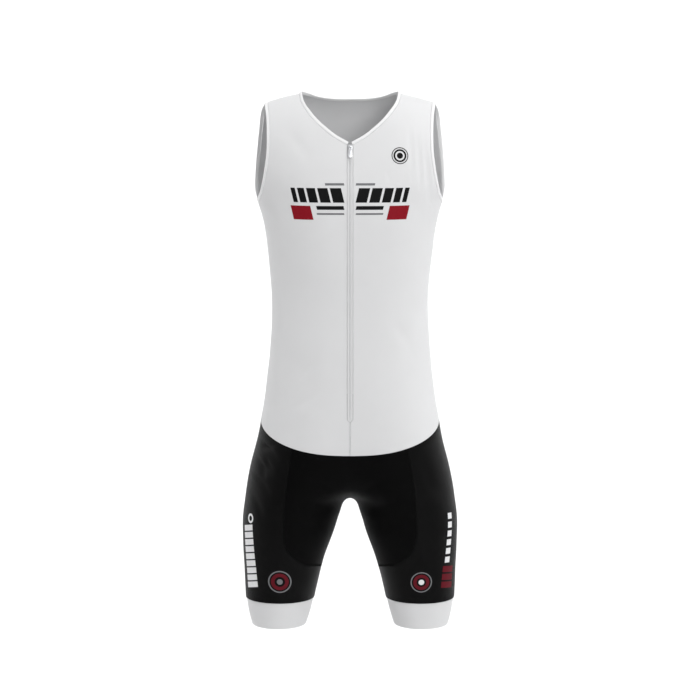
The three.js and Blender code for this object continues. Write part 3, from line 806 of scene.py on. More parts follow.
def build_mesh(name: str, points: Array, faces: Ints, marks: Array | None = None) -> Piece:
    """Make a piece from whole arrays, with cells of three or four corners.

    Args:
        name: Name of the piece.
        points: Its points.
        faces: Four corner numbers for each cell; a corner that repeats the one before is dropped.
        marks: Flat place of each corner of each cell, for the UV map.

    Returns:
        The piece, linked to the scene, at the origin.
    """
    keep = faces != np.roll(faces, 1, axis=1)
    sizes = keep.sum(axis=1)
    solid = sizes >= 3
    keep, faces, sizes = keep[solid], faces[solid], sizes[solid]
    loops = faces[keep]
    mesh = bpy.data.meshes.new(name)
    mesh.vertices.add(len(points))
    mesh.vertices.foreach_set("co", np.ascontiguousarray(points, dtype=np.float32).ravel())
    mesh.loops.add(len(loops))
    mesh.loops.foreach_set("vertex_index", loops.astype(np.int32))
    mesh.polygons.add(len(faces))
    mesh.polygons.foreach_set("loop_start", np.concatenate([[0], np.cumsum(sizes)[:-1]]).astype(np.int32))
    mesh.polygons.foreach_set("use_smooth", np.ones(len(faces), dtype=bool))
    mesh.update(calc_edges=True)
    if marks is not None:
        layer = mesh.uv_layers.new(name="cloth")
        layer.data.foreach_set("uv", marks[solid][keep].astype(np.float32).ravel())
    mesh.validate()
    mesh.set_sharp_from_angle(angle=math.radians(50.0))
    piece = bpy.data.objects.new(name, mesh)
    bpy.context.scene.collection.objects.link(piece)
    return piece


def lengths_along(points: Array, axis: int) -> Array:
    """Added-up lengths along the rows (axis 1) or up the columns (axis 0) of a grid.

    Args:
        points: The grid.
        axis: Direction to walk in.

    Returns:
        Length from the first point, for each point.
    """
    steps = np.linalg.norm(np.diff(points, axis=axis), axis=-1)
    start = np.zeros_like(np.take(steps, [0], axis=axis))
    return np.concatenate([start, np.cumsum(steps, axis=axis)], axis=axis)


@dataclass
class Seams:
    """Which sides of a grid are seams; an array tells it for each point of that side."""

    left: bool | Array = False
    right: bool | Array = False
    bottom: bool | Array = False
    top: bool | Array = False


@dataclass
class Patch:
    """Grid on the smooth form: rows go up, columns go from the centre outwards and round to the back.

    Attributes:
        points: Its points.
        marks: Flat place of each.
        seam: Distance of each from the nearest seam.
    """

    points: Array
    marks: Array
    seam: Array

    @classmethod
    def of(cls, points: Array, seams: Seams) -> "Patch":
        """Measure a grid.

        Args:
            points: The grid's points.
            seams: Its sides that are seams.

        Returns:
            The patch.
        """
        across, up = lengths_along(points, 1), lengths_along(points, 0)
        far = np.full(across.shape, 1.0)
        near = [far]
        for open_side, distance in (
            (np.reshape(seams.left, (-1, 1)), across),
            (np.reshape(seams.right, (-1, 1)), across[:, -1:] - across),
            (np.reshape(seams.bottom, (1, -1)), up),
            (np.reshape(seams.top, (1, -1)), up[-1:] - up),
        ):
            near.append(np.where(open_side, distance, far))
        return cls(points, np.stack([across, up], axis=-1), np.minimum.reduce(near))

    def part(self, rows: slice, columns: slice) -> "Patch":
        """Cut a part out of the grid, with the distances of the whole."""
        return Patch(self.points[rows, columns], self.marks[rows, columns], self.seam[rows, columns])


NEAR = (0.00035, 0.0008, 0.0020)
CELL = 0.0036


def levels_between(low: float, high: float, near_low: bool, near_high: bool) -> Array:
    """Heights of rows between two places, close together beside a seam.

    Args:
        low: First height.
        high: Last height.
        near_low: Whether the first is a seam.
        near_high: Whether the last is a seam.

    Returns:
        Heights, rising.
    """
    count = max(2, round((high - low) / CELL))
    middle = np.linspace(low, high, count + 1)
    close = np.array(NEAR)
    if near_low:
        middle = np.concatenate([[low], low + close, middle[middle > low + 1.6 * NEAR[-1]]])
    if near_high:
        middle = np.concatenate([middle[middle < high - 1.6 * NEAR[-1]], high - close[::-1], [high]])
    return middle


class Pattern:
    """All panels of the left half, as grids on the smooth form."""

    INSERT_STEPS = 34
    OUTER_STEPS = 32
    BACK_STEPS = 62
    FRONT_STEPS = 54
    NECK_STEPS = 20
    SHOULDER_STEPS = 40

    def __init__(self, form: SuitForm) -> None:
        """Lay out every grid.

        Args:
            form: The smooth form.
        """
        self.form = form
        self.cut = form.cut
        cut = self.cut
        self.torso_levels = self.find_torso_levels()
        self.rises, self.neck_row = self.find_rises()
        front = self.front_points()
        back = self.back_points(front[-1])
        self.front = Patch.of(front, Seams(left=True, right=True, bottom=True, top=True))
        self.back = Patch.of(back, Seams(right=True, bottom=True, top=True))
        crotch = float(form.crotch)
        drops = np.array([0.008, 0.0045, 0.002, 0.0005])
        leg = levels_between(cut.insert_end, crotch - 0.0115, True, False)
        trunk = levels_between(crotch + 0.0115, cut.waist_side, False, True)
        lower = levels_between(cut.gripper_seam, cut.insert_end, True, True)
        upper = np.concatenate([leg, crotch - drops, [crotch], crotch + drops[::-1], trunk])
        self.crotch_row = len(leg) + len(drops)
        rows_upper = self.ring(upper)
        rows_lower = self.ring(lower)
        self.seam_column = self.INSERT_STEPS + 2 * len(NEAR)
        under = np.arange(len(upper)) <= self.crotch_row
        whole = rows_upper.shape[1]
        insert = rows_upper[:, : self.seam_column + 1]
        self.insert = Patch.of(insert, Seams(left=under, right=True, bottom=True, top=True))
        self.leg_upper = Patch.of(rows_upper[:, self.seam_column :], Seams(left=True, right=True, top=True))
        on_insert = np.arange(whole) <= self.seam_column
        self.leg_lower = Patch.of(rows_lower, Seams(left=True, right=True, bottom=True, top=on_insert))
        rows_gripper = self.ring(levels_between(cut.hem, cut.gripper_seam, True, True))
        self.gripper = Patch.of(rows_gripper, Seams(bottom=True, top=True))

    def find_torso_levels(self) -> Array:
        """Levels of the rows from the waist seam to the underarm, with close ones at the zip's end."""
        cut, form = self.cut, self.form
        start = np.array(0.0)

        def height(level: Array) -> Array:
            """Height of a level at the centre front."""
            return level + form.waist_drop(Facing.FRONT, level, start)

        tip = cut.zip_end + np.array([-0.002, 0.0, 0.0015, 0.003, 0.0045, 0.006, 0.008])
        tips = form.root(lambda z: height(z) - tip, cut.waist_side, cut.underarm)
        even = levels_between(cut.waist_side, cut.underarm, True, False)
        clear = np.abs(even[:, None] - tips[None, :]).min(axis=1) > 0.0012
        return np.sort(np.concatenate([even[clear], tips]))

    def find_rises(self) -> tuple[Array, int]:
        """Rises of the rows over the underarm, and the number of the first at the foot of the neckline."""
        cut = self.cut
        reach = float(self.form.ridge(cut.zip_half)) - cut.underarm
        steps = round((cut.zip_top - cut.underarm) / CELL)
        straight = (np.linspace(cut.underarm, cut.zip_top, steps + 1)[1:] - cut.underarm) / reach
        power = cut.shoulder_power
        turn = math.asin(straight[-1] ** (power / 2.0))
        turns = np.linspace(turn, math.pi / 2.0 - 0.034, 34)[1:]
        close = math.pi / 2.0 - np.array([0.021, 0.0085, 0.0037])
        round_part = np.sin(np.concatenate([turns, close])) ** (2.0 / power)
        return np.concatenate([straight, round_part, [1.0]]), steps - 1

    def front_points(self) -> Array:
        """Front panel of the top, from the centre or the neckline to the side seam or the armhole."""
        cut, form = self.cut, self.form
        lower = form.trunk_lines(Facing.FRONT, self.torso_levels)
        x, z = lower.points[..., 0], lower.points[..., 2]
        opening = cut.zip_half * np.clip((z - cut.zip_end) / cut.zip_point, 0.0, 1.0)
        start = np.where(z[:, 0] <= cut.zip_end + 1e-6, 0.0, lower.length_where(x - opening))
        below = lower.spread(seam_lengths(start, lower.whole, self.FRONT_STEPS, NEAR))
        upper = form.shoulder_lines(Facing.FRONT, self.rises)
        x, z = upper.points[..., 0], upper.points[..., 2]
        under_neck = (np.arange(len(self.rises)) <= self.neck_row)[:, None]
        start = upper.length_where(x - np.where(under_neck, cut.zip_half, form.front_neck_x(z)))
        end = upper.length_where(x - form.front_armhole_x(z))
        above = upper.spread(seam_lengths(start, end, self.FRONT_STEPS, NEAR))
        ends = seam_lengths(np.zeros(1), np.full(1, cut.shoulder_tip - cut.side_neck), self.FRONT_STEPS, NEAR)
        top = cut.side_neck + ends[0]
        above[-1] = form.cloth(Facing.FRONT, top, form.ridge(top))
        return np.concatenate([below, above])

    def back_points(self, shoulder_seam: Array) -> Array:
        """Half of the back panel, from the centre back to the side seam or the armhole.

        Over the underarm each column runs from its place at the underarm to its place on the neck edge or the
        shoulder seam, pushed outwards to meet the armhole. Points that crowd against the edge are put on it.

        Args:
            shoulder_seam: Points of the front panel's shoulder seam.

        Returns:
            The grid.
        """
        cut, form = self.cut, self.form
        total = self.NECK_STEPS + self.SHOULDER_STEPS
        shares = np.concatenate([np.arange(total), total - np.array([0.45, 0.22, 0.09]), [total]]) / total
        lower = form.trunk_lines(Facing.BACK, self.torso_levels)
        below = lower.spread(lower.whole[:, None] * shares[None, :])
        neck_x = np.linspace(0.0, cut.side_neck, 400)
        neck = form.cloth(Facing.BACK, neck_x, form.back_neck_z(neck_x))[None]
        neck_length = lengths_along(neck, 1)[0]
        seam_length = lengths_along(shoulder_seam[None], 1)[0]
        split = self.NECK_STEPS / total
        on_neck = shares < split
        neck_share = np.clip(shares / split, 0.0, 1.0) * neck_length[-1]
        seam_share = np.clip((shares - split) / (1.0 - split), 0.0, 1.0) * seam_length[-1]
        top_x = np.where(
            on_neck,
            np.interp(neck_share, neck_length, neck_x),
            np.interp(seam_share, seam_length, shoulder_seam[:, 0]),
        )
        top_z = np.where(on_neck, form.back_neck_z(top_x), form.ridge(top_x))
        top = form.cloth(Facing.BACK, top_x, top_z)
        top_rise = (top_z - cut.underarm) / (form.ridge(top_x) - cut.underarm)
        rises = self.rises[:, None]
        armhole = np.full(self.rises.shape, cut.shoulder_tip)
        for _ in range(8):
            armhole = form.back_armhole_x(cut.underarm + self.rises * (form.ridge(armhole) - cut.underarm))
        armhole[-1] = cut.shoulder_tip
        under = below[-1][:, 0][None, :]
        plain = under[:, -1:] + (cut.shoulder_tip - under[:, -1:]) * rises
        x = under + (top_x[None, :] - under) * rises + shares[None, :] * (armhole[:, None] - plain)
        z = cut.underarm + rises * top_rise[None, :] * (form.ridge(x) - cut.underarm)
        above = form.cloth(Facing.BACK, x, z)
        crowded = np.linalg.norm(above - top, axis=-1, keepdims=True) < 0.00006
        above = np.where(crowded, top, above)
        above[-1] = top
        return np.concatenate([below, above])

    def ring(self, levels: Array) -> Array:
        """Rows of half of the shorts: front from the centre to the side, then back to the centre.

        Args:
            levels: Heights of the rows at the side.

        Returns:
            The grid.
        """
        form, cut = self.form, self.cut
        over = levels > float(form.crotch) + 1e-9
        rows = []
        for lines_of, chosen in ((form.leg_lines, levels[~over]), (form.trunk_lines, levels[over])):
            if not len(chosen):
                continue
            front, back = lines_of(Facing.FRONT, chosen), lines_of(Facing.BACK, chosen)
            x, z = front.points[..., 0], front.points[..., 2]
            seam = front.length_where(x - form.insert_x(z))
            below = np.clip((cut.insert_end - chosen) / (cut.insert_end - cut.gripper_seam), 0.0, 1.0)
            share = self.insert_end_share() * (1.0 - below) + 0.5 * below
            seam = np.where(below > 0.0, front.whole * share, seam)
            zero = np.zeros_like(seam)
            inner = front.spread(seam_lengths(zero, seam, self.INSERT_STEPS, NEAR))
            outer = front.spread(seam_lengths(seam, front.whole, self.OUTER_STEPS, NEAR))
            behind = back.spread(seam_lengths(zero, back.whole, self.BACK_STEPS, NEAR))[:, ::-1]
            rows.append(np.concatenate([inner, outer[:, 1:], behind[:, 1:]], axis=1))
        return np.concatenate(rows)

    def insert_end_share(self) -> float:
        """Share of the thigh's front that the insert covers at its lower end."""
        line = self.form.leg_lines(Facing.FRONT, np.array([self.cut.insert_end]))
        x, z = line.points[..., 0], line.points[..., 2]
        return float((line.length_where(x - self.form.insert_x(z)) / line.whole)[0])


class Paint:
    """A new material, with its nodes, its links and its shader."""

    def __init__(self, name: str) -> None:
        """Make a material of this name that has a shader and no more."""
        self.material = bpy.data.materials.new(name)
        self.material.use_nodes = True
        self.nodes, self.links = self.material.node_tree.nodes, self.material.node_tree.links
        self.nodes.clear()
        self.shader = self.nodes.new("ShaderNodeBsdfPrincipled")
        self.output = self.nodes.new("ShaderNodeOutputMaterial")
        self.links.new(self.shader.outputs["BSDF"], self.output.inputs["Surface"])

    def set(self, name: str, value: float) -> None:
        """Set one input of the shader."""
        self.shader.inputs[name].default_value = value

    def math(self, operation: str, first: Socket, second: Socket | float | None = None) -> Socket:
        """Work out a value from one or two others.

        Args:
            operation: What is done with them.
            first: First value.
            second: Second value, as a socket or a fixed number.

        Returns:
            The result.
        """
        node = self.nodes.new("ShaderNodeMath")
        node.operation = operation
        self.links.new(first, node.inputs[0])
        if isinstance(second, float):
            node.inputs[1].default_value = second
        elif second is not None:
            self.links.new(second, node.inputs[1])
        return node.outputs[0]

    def mottle(self, color: tuple[float, float, float], share: float, scale: float) -> None:
        """Give the shader a base colour that wanders faintly over the object.

        Args:
            color: Middle of the colour.
            share: Share by which it wanders.
            scale: Fineness of the wandering.
        """
        place, noise = self.nodes.new("ShaderNodeTexCoord"), self.nodes.new("ShaderNodeTexNoise")
        noise.inputs["Scale"].default_value = scale
        noise.inputs["Detail"].default_value = 3.0
        self.links.new(place.outputs["Object"], noise.inputs["Vector"])
        ramp = self.nodes.new("ShaderNodeValToRGB")
        for element, position, part in zip(ramp.color_ramp.elements, (0.3, 0.7), (1.0 - share, 1.0 + share)):
            element.position = position
            element.color = (*(min(c * part, 1.0) for c in color), 1.0)
        self.links.new(noise.outputs["Fac"], ramp.inputs["Fac"])
        self.links.new(ramp.outputs["Color"], self.shader.inputs["Base Color"])


@dataclass(frozen=True)
class KnitFinish:
    """Knitted or woven cloth.

    Attributes:
        name: Material name.
        color: Base colour, linear.
        roughness: Roughness of the surface.
        sheen: Strength of the soft glow at grazing angles.
        sheen_roughness: Spread of that glow.
        wale: Width of one column of loops in metres.
        relief: Height of the loops in metres.
        mottle: Share by which the colour wanders over centimetres.
        specular: Strength of its mirror glow.
    """

    name: str
    color: tuple[float, float, float]
    roughness: float
    sheen: float
    sheen_roughness: float = 0.4
    wale: float = 0.0009
    relief: float = 0.00006
    mottle: float = 0.01
    specular: float = 0.2

    def build(self) -> Material:
        """Make the material: loops from two waves over the flat place of the cloth, as a bump.

        Returns:
            The material.
        """
        paint = Paint(self.name)
        paint.set("Roughness", self.roughness)
        paint.set("Sheen Weight", self.sheen)
        paint.set("Sheen Roughness", self.sheen_roughness)
        paint.set("Specular IOR Level", self.specular)
        place, split = paint.nodes.new("ShaderNodeUVMap"), paint.nodes.new("ShaderNodeSeparateXYZ")
        place.uv_map = "cloth"
        paint.links.new(place.outputs["UV"], split.inputs[0])
        waves = []
        for axis, pitch in (("X", self.wale), ("Y", self.wale * 0.72)):
            turn = paint.math("MULTIPLY", split.outputs[axis], 2.0 * math.pi / pitch)
            waves.append(paint.math("SINE", turn))
        bump = paint.nodes.new("ShaderNodeBump")
        bump.inputs["Strength"].default_value = 0.5
        bump.inputs["Distance"].default_value = self.relief
        paint.links.new(paint.math("MULTIPLY", *waves), bump.inputs["Height"])
        paint.links.new(bump.outputs["Normal"], paint.shader.inputs["Normal"])
        paint.mottle(self.color, self.mottle, 38.0)
        return paint.material


@dataclass(frozen=True)
class PlainFinish:
    """Smooth thread, print film or lacquer.

    Attributes:
        name: Material name.
        color: Base colour, linear.
        roughness: Roughness.
        metallic: Share of metal.
        coat: Weight of a clear coat.
        mottle: Share by which the colour wanders.
        specular: Strength of its mirror glow.
    """

    name: str
    color: tuple[float, float, float]
    roughness: float
    metallic: float = 0.0
    coat: float = 0.0
    mottle: float = 0.03
    specular: float = 0.5

    def build(self) -> Material:
        """Make the material.

        Returns:
            The material.
        """
        paint = Paint(self.name)
        paint.set("Roughness", self.roughness)
        paint.set("Metallic", self.metallic)
        paint.set("Coat Weight", self.coat)
        paint.set("Coat Roughness", 0.2)
        paint.set("Specular IOR Level", self.specular)
        paint.mottle(self.color, self.mottle, 160.0)
        return paint.material


class Finishes:
    """Every finish of the suit, each made once."""

    def __init__(self) -> None:
        """Make the materials."""
        white = (0.75, 0.752, 0.758)
        self.top = KnitFinish("top_knit", white, 0.68, 0.08, mottle=0.006).build()
        self.shorts = KnitFinish(
            "shorts_knit", (0.0011, 0.0011, 0.0012), 0.48, 0.001, 0.35, mottle=0.08, specular=0.1
        ).build()
        self.insert = KnitFinish(
            "insert_knit", (0.0011, 0.0011, 0.0012), 0.58, 0.001, 0.5, mottle=0.08, specular=0.055
        ).build()
        self.gripper = KnitFinish(
            "gripper_band", white, 0.66, 0.1, wale=0.0016, relief=0.00012, mottle=0.006
        ).build()
        # The bindings' white is lighter than the top's white: painted light, standing in for the bright band that the
        # bindings catch along the neck and armholes.
        self.binding = KnitFinish(
            "binding_band", (0.88, 0.882, 0.885), 0.66, 0.12, wale=0.0012, mottle=0.006
        ).build()
        self.tape = KnitFinish("zip_tape", (0.74, 0.742, 0.748), 0.6, 0.05, wale=0.0008).build()
        self.coil = PlainFinish("zip_coil", (0.72, 0.722, 0.73), 0.5, mottle=0.02).build()
        self.metal = PlainFinish("zip_lacquer", (0.66, 0.67, 0.69), 0.33, 0.55, 0.25, 0.015).build()
        self.light_thread = PlainFinish("light_thread", (0.66, 0.665, 0.675), 0.62).build()
        self.dark_thread = PlainFinish("dark_thread", (0.003, 0.003, 0.0033), 0.66, specular=0.12).build()
        self.print_black = PlainFinish("print_black", (0.004, 0.004, 0.0045), 0.66, specular=0.12).build()
        self.print_red = PlainFinish("print_red", (0.25, 0.004, 0.012), 0.6, specular=0.15).build()
        self.print_wine = PlainFinish("print_wine", (0.12, 0.004, 0.011), 0.6, specular=0.15).build()
        self.print_grey = PlainFinish("print_grey", (0.16, 0.162, 0.17), 0.55).build()
        self.print_white = PlainFinish("print_white", (0.80, 0.80, 0.81), 0.5).build()


def finish_piece(
    piece: Piece,
    material: Material,
    slot: str | None = None,
    nodes: Sequence[str] = (),
    body: str = SUIT,
) -> Piece:
    """Give a piece its finish and its place in the frame.

    Args:
        piece: The piece.
        material: Its finish.
        slot: Material slot of the record.
        nodes: CAD nodes that it stands for.
        body: CAD body that it moves with.

    Returns:
        The same piece.
    """
    piece.data.materials.clear()
    piece.data.materials.append(material)
    if nodes:
        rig.replaces(piece, *nodes)
    if slot:
        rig.slot(piece, slot)
    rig.ride(piece, body)
    log.info("%s: %d points, %d faces", piece.name, len(piece.data.vertices), len(piece.data.polygons))
    return piece


@dataclass(frozen=True)
class FlatCut:
    """Size that a panel was cut to before it was worn, and what it is sewn to.

    Attributes:
        size: Greatest width and length.
        area: Flat area.
        hangs_from: Panels that hold it up.
        trims: Stitches, bindings and zip pieces on it.
    """

    size: tuple[float, float]
    area: float
    hangs_from: tuple[str, ...]
    trims: tuple[str, ...]


@dataclass
class SubAssembly:
    """What every sewn group of pieces is made from.

    Attributes:
        pattern: Grids of the panels.
        drape: The creased form.
        finishes: Materials.
    """

    pattern: Pattern
    drape: Drape
    finishes: Finishes


@dataclass
class ClothPanels(SubAssembly):
    """Panels of the top and the shorts and the leg grippers.

    Attributes:
        thick: Thickness of the knit.
        gripper_thick: Thickness of the grippers.
        leg_gap: Half of the gap round the leg panels, so narrow that no light passes at the centre back.
    """

    thick: float = 0.0011
    gripper_thick: float = 0.0016
    leg_gap: float = 0.00004

    def build(self) -> dict[str, Piece]:
        """Make every panel.

        Returns:
            The pieces by the node that each stands for.
        """
        pieces: dict[str, Piece] = {}
        pattern, finishes = self.pattern, self.finishes
        wall, leg_wall = Wall(self.thick), Wall(self.thick, gap=self.leg_gap)
        band = Wall(self.gripper_thick, bend=0.00072)
        both = (Side.LEFT, Side.RIGHT)
        for side in both:
            node = f"top_front_{side.word}"
            pieces[node] = self.piece(node, [(pattern.front, side)], wall, finishes.top, "top_knit")
            node = f"shorts_leg_{side.word}"
            grids = [(pattern.leg_lower, side), (pattern.leg_upper, side)]
            pieces[node] = self.piece(node, grids, leg_wall, finishes.shorts, "shorts_knit")
            node = f"leg_gripper_{side.word}"
            pieces[node] = self.piece(node, [(pattern.gripper, side)], band, finishes.gripper, "gripper_band")
        behind = pattern.back.part(slice(None), slice(None, None, -1))
        grids = [(behind, side) for side in both]
        pieces["top_back"] = self.piece("top_back", grids, wall, finishes.top, "top_knit")
        grids = [(pattern.insert, side) for side in both]
        node = "shorts_front_insert"
        pieces[node] = self.piece(node, grids, wall, finishes.insert, "insert_knit")
        return pieces

    def piece(
        self,
        node: str,
        grids: Sequence[tuple[Patch, Side]],
        wall: Wall,
        material: Material,
        slot: str,
    ) -> Piece:
        """Make one panel that stands for a node.

        Args:
            node: Name of the CAD node.
            grids: Its grids and their sides.
            wall: Thickness and edges.
            material: Finish.
            slot: Material slot of the record.

        Returns:
            The panel.
        """
        shell = Shell(self.drape, wall)
        for patch, side in grids:
            shell.add(patch, side)
        return finish_piece(shell.mesh(f"{node}_cloth"), material, slot, [node])


@dataclass(frozen=True)
class Path:
    """Points along a seam or an edge on the creased cloth, evenly spaced.

    Attributes:
        points: Points on the outer face.
        normals: Outward directions there.
        across: Directions across the path in the cloth, to the left of its run as seen from outside.
        lengths: Length from its start.
    """

    points: Array
    normals: Array
    across: Array
    lengths: Array

    @classmethod
    def along(cls, drape: "Drape", smooth: Array, pitch: float, closed: bool = False) -> "Path":
        """Spread points evenly along a line of the smooth form and lay them on the creases.

        Args:
            drape: The creased form.
            smooth: Points of the line.
            pitch: Distance between the new points.
            closed: Whether the line is a loop; its first point isn't repeated.

        Returns:
            The path.
        """
        if closed:
            smooth = np.concatenate([smooth, smooth[:1]])
        steps = np.linalg.norm(np.diff(smooth, axis=0), axis=-1)
        real = np.concatenate([[True], steps > 1e-7])
        smooth = smooth[real]
        lengths = lengths_along(smooth[None], 1)[0]
        count = max(2, round(lengths[-1] / pitch))
        places = np.linspace(0.0, lengths[-1], count + 1)
        if closed:
            places = places[:-1]
        even = np.stack([np.interp(places, lengths, smooth[:, k]) for k in range(3)], axis=-1)
        points, normals = drape.lay(even)
        if closed:
            run = np.roll(points, -1, axis=0) - np.roll(points, 1, axis=0)
        else:
            run = np.gradient(points, axis=0)
        return cls(points, normals, unit(np.cross(normals, run)), places)

    def at(self, places: Array, aside: Array, over: Array) -> tuple[Array, Array]:
        """Points beside the path.

        Args:
            places: Lengths along the path.
            aside: Distances across it.
            over: Heights over the cloth.

        Returns:
            The points and the outward directions there, with the shape of places.
        """
        flat = places.reshape(-1)

        def read(values: Array) -> Array:
            """Values at the places, in between the path's points."""
            read_at = [np.interp(flat, self.lengths, values[:, k]) for k in range(3)]
            return np.stack(read_at, axis=-1).reshape(*places.shape, 3)

        normals = read(self.normals)
        found = read(self.points) + read(self.across) * aside[..., None] + normals * over[..., None]
        return found, normals


def tubes(name: str, points: Array, normals: Array, radii: Array) -> Piece:
    """Many short closed tubes as one piece: six-sided rings along each line, with flat small ends.

    Args:
        name: Name of the piece.
        points: Lines, of shape number of tubes, points to a tube, three.
        normals: Direction of the first side of each ring.
        radii: Radius at each point of a tube.

    Returns:
        The piece.
    """
    sides = 6
    run = unit(np.gradient(points, axis=1))
    up = unit(normals - run * (normals * run).sum(axis=-1, keepdims=True))
    side = np.cross(run, up)
    turn = 2.0 * math.pi * np.arange(sides) / sides
    ring = up[:, :, None] * np.cos(turn)[:, None] + side[:, :, None] * np.sin(turn)[:, None]
    rings = points[:, :, None] + ring * radii[None, :, None, None]
    count, steps = points.shape[:2]
    ids = np.arange(count * steps * sides).reshape(count, steps, sides)
    after = np.roll(ids, -1, axis=2)
    walls = np.stack([ids[:, :-1], after[:, :-1], after[:, 1:], ids[:, 1:]], axis=-1).reshape(-1, 4)
    first, last = ids[:, 0], ids[:, -1]
    ends = [first[:, [3, 2, 1, 0]], first[:, [5, 4, 3, 0]], last[:, [0, 1, 2, 3]], last[:, [0, 3, 4, 5]]]
    return build_mesh(name, rings.reshape(-1, 3), np.concatenate([walls, *ends]))


@dataclass(frozen=True)
class Thread:
    """Sewing thread and how it is laid.

    Attributes:
        radius: Radius of the thread.
        stitch: Length of one stitch of a row, with the dip after it.
        dip: Length of that dip.
        crossing: Distance between two threads that cross a flat seam.
    """

    radius: float = 0.00017
    stitch: float = 0.0026
    dip: float = 0.0007
    crossing: float = 0.0013

    def row(self, path: Path, aside: float) -> tuple[Array, Array]:
        """Stitches one after the other beside a path.

        Args:
            path: The seam or edge.
            aside: Distance of the row from it.

        Returns:
            Lines and directions for tubes.
        """
        count = max(1, int(path.lengths[-1] / self.stitch))
        start = (np.arange(count) + 0.5) * path.lengths[-1] / count
        half = (self.stitch - self.dip) / 2.0
        shares = np.array([-1.0, -0.6, 0.6, 1.0])
        places = start[:, None] + half * shares[None, :]
        over = np.broadcast_to(self.radius * np.array([-0.7, 0.55, 0.55, -0.7]), places.shape)
        return path.at(places, np.full(places.shape, aside), over)

    def bridge(self, path: Path, low: float, high: float) -> tuple[Array, Array]:
        """Threads that cross a flat seam on a slant.

        Args:
            path: The seam.
            low: Where each starts, across the seam.
            high: Where each ends.

        Returns:
            Lines and directions for tubes.
        """
        count = max(1, int(path.lengths[-1] / self.crossing) - 1)
        start = (np.arange(count) + 0.5) * path.lengths[-1] / (count + 1)
        lean = np.array([0.0, 0.15, 0.85, 1.0])
        places = start[:, None] + self.crossing * 0.5 * lean[None, :]
        aside = np.broadcast_to(low + (high - low) * lean, places.shape)
        over = np.broadcast_to(self.radius * np.array([-0.7, 0.5, 0.5, -0.7]), places.shape)
        return path.at(places, aside, over)

    def sew(self, name: str, laid: Laid) -> Piece:
        """Make one piece of all the stitches laid.

        Args:
            name: Name of the piece.
            laid: Lines and directions.

        Returns:
            The piece.
        """
        points = np.concatenate([lines for lines, _ in laid])
        normals = np.concatenate([ups for _, ups in laid])
        return tubes(name, points, normals, self.radius * np.array([0.4, 1.0, 1.0, 0.4]))


def mirrored(points: Array) -> Array:
    """Mirror image of points in the centre plane."""
    return points * np.array([-1.0, 1.0, 1.0])


@dataclass
class Seamwork(SubAssembly):
    """Stitches of all the seams.

    Attributes:
        thread: The thread.
        flat_half: Half width of a flat seam.
    """

    thread: Thread = Thread()
    flat_half: float = 0.0019

    def flat_seam(self, smooth: Array, closed: bool = False) -> Laid:
        """Flat seam: a row of stitches on either side and slanting threads over the join.

        Args:
            smooth: Points of the join on the smooth form.
            closed: Whether it is a loop.

        Returns:
            Stitches laid.
        """
        path = Path.along(self.drape, smooth, 0.002, closed)
        rows = [self.thread.row(path, way * self.flat_half) for way in (-1.0, 1.0)]
        return [*rows, self.thread.bridge(path, -self.flat_half, self.flat_half)]

    def edge_rows(self, smooth: Array, asides: Sequence[float], closed: bool) -> Laid:
        """Rows of stitches along a join, at the given distances from it, all round where it is a loop."""
        path = Path.along(self.drape, smooth, 0.002, closed)
        return [self.thread.row(path, aside) for aside in asides]

    def build(self) -> dict[str, Piece]:
        """Make the stitches.

        Returns:
            Pieces by the name of the seam.
        """
        pattern = self.pattern
        torso = len(pattern.torso_levels)
        side = pattern.front.points[:torso, -1]
        shoulder = pattern.front.points[-1]
        tip = np.searchsorted(pattern.front.points[:torso, 0, 2], pattern.cut.zip_end)
        centre_front = pattern.front.points[:tip, 0]
        waist = pattern.leg_upper.points[-1]
        waist_front = pattern.insert.points[-1]
        insert_edge = np.concatenate([pattern.insert.points[0], pattern.insert.points[1:, -1]])
        inseam = np.concatenate(
            [pattern.leg_lower.points[:, 0], pattern.insert.points[1 : pattern.crotch_row + 1, 0]]
        )
        centre_back = pattern.leg_upper.points[pattern.crotch_row :, -1]
        half = np.concatenate([waist_front, waist[1:]])
        ring = np.concatenate([half, mirrored(half)[-2:0:-1]])
        cuff = pattern.gripper.points[-1, :-1]
        light: dict[str, Laid] = {"centre_front": self.flat_seam(centre_front)}
        dark: dict[str, Laid] = {
            "waist": self.edge_rows(ring, (-0.0012, -0.0030), True),
            "centre_back": self.flat_seam(centre_back),
        }
        for word, turn in (("left", lambda p: p), ("right", mirrored)):
            light[f"side_{word}"] = self.flat_seam(turn(side))
            light[f"shoulder_{word}"] = self.flat_seam(turn(shoulder))
            dark[f"insert_{word}"] = self.flat_seam(turn(insert_edge))
            dark[f"inseam_{word}"] = self.flat_seam(turn(inseam))
            away = 1.0 if word == "left" else -1.0
            dark[f"cuff_{word}"] = self.edge_rows(turn(cuff), (away * 0.0012, away * 0.0030), True)
        pieces: dict[str, Piece] = {}
        for seams, material in ((light, self.finishes.light_thread), (dark, self.finishes.dark_thread)):
            for word, laid in seams.items():
                pieces[word] = finish_piece(self.thread.sew(f"stitches_{word}", laid), material)
        return pieces


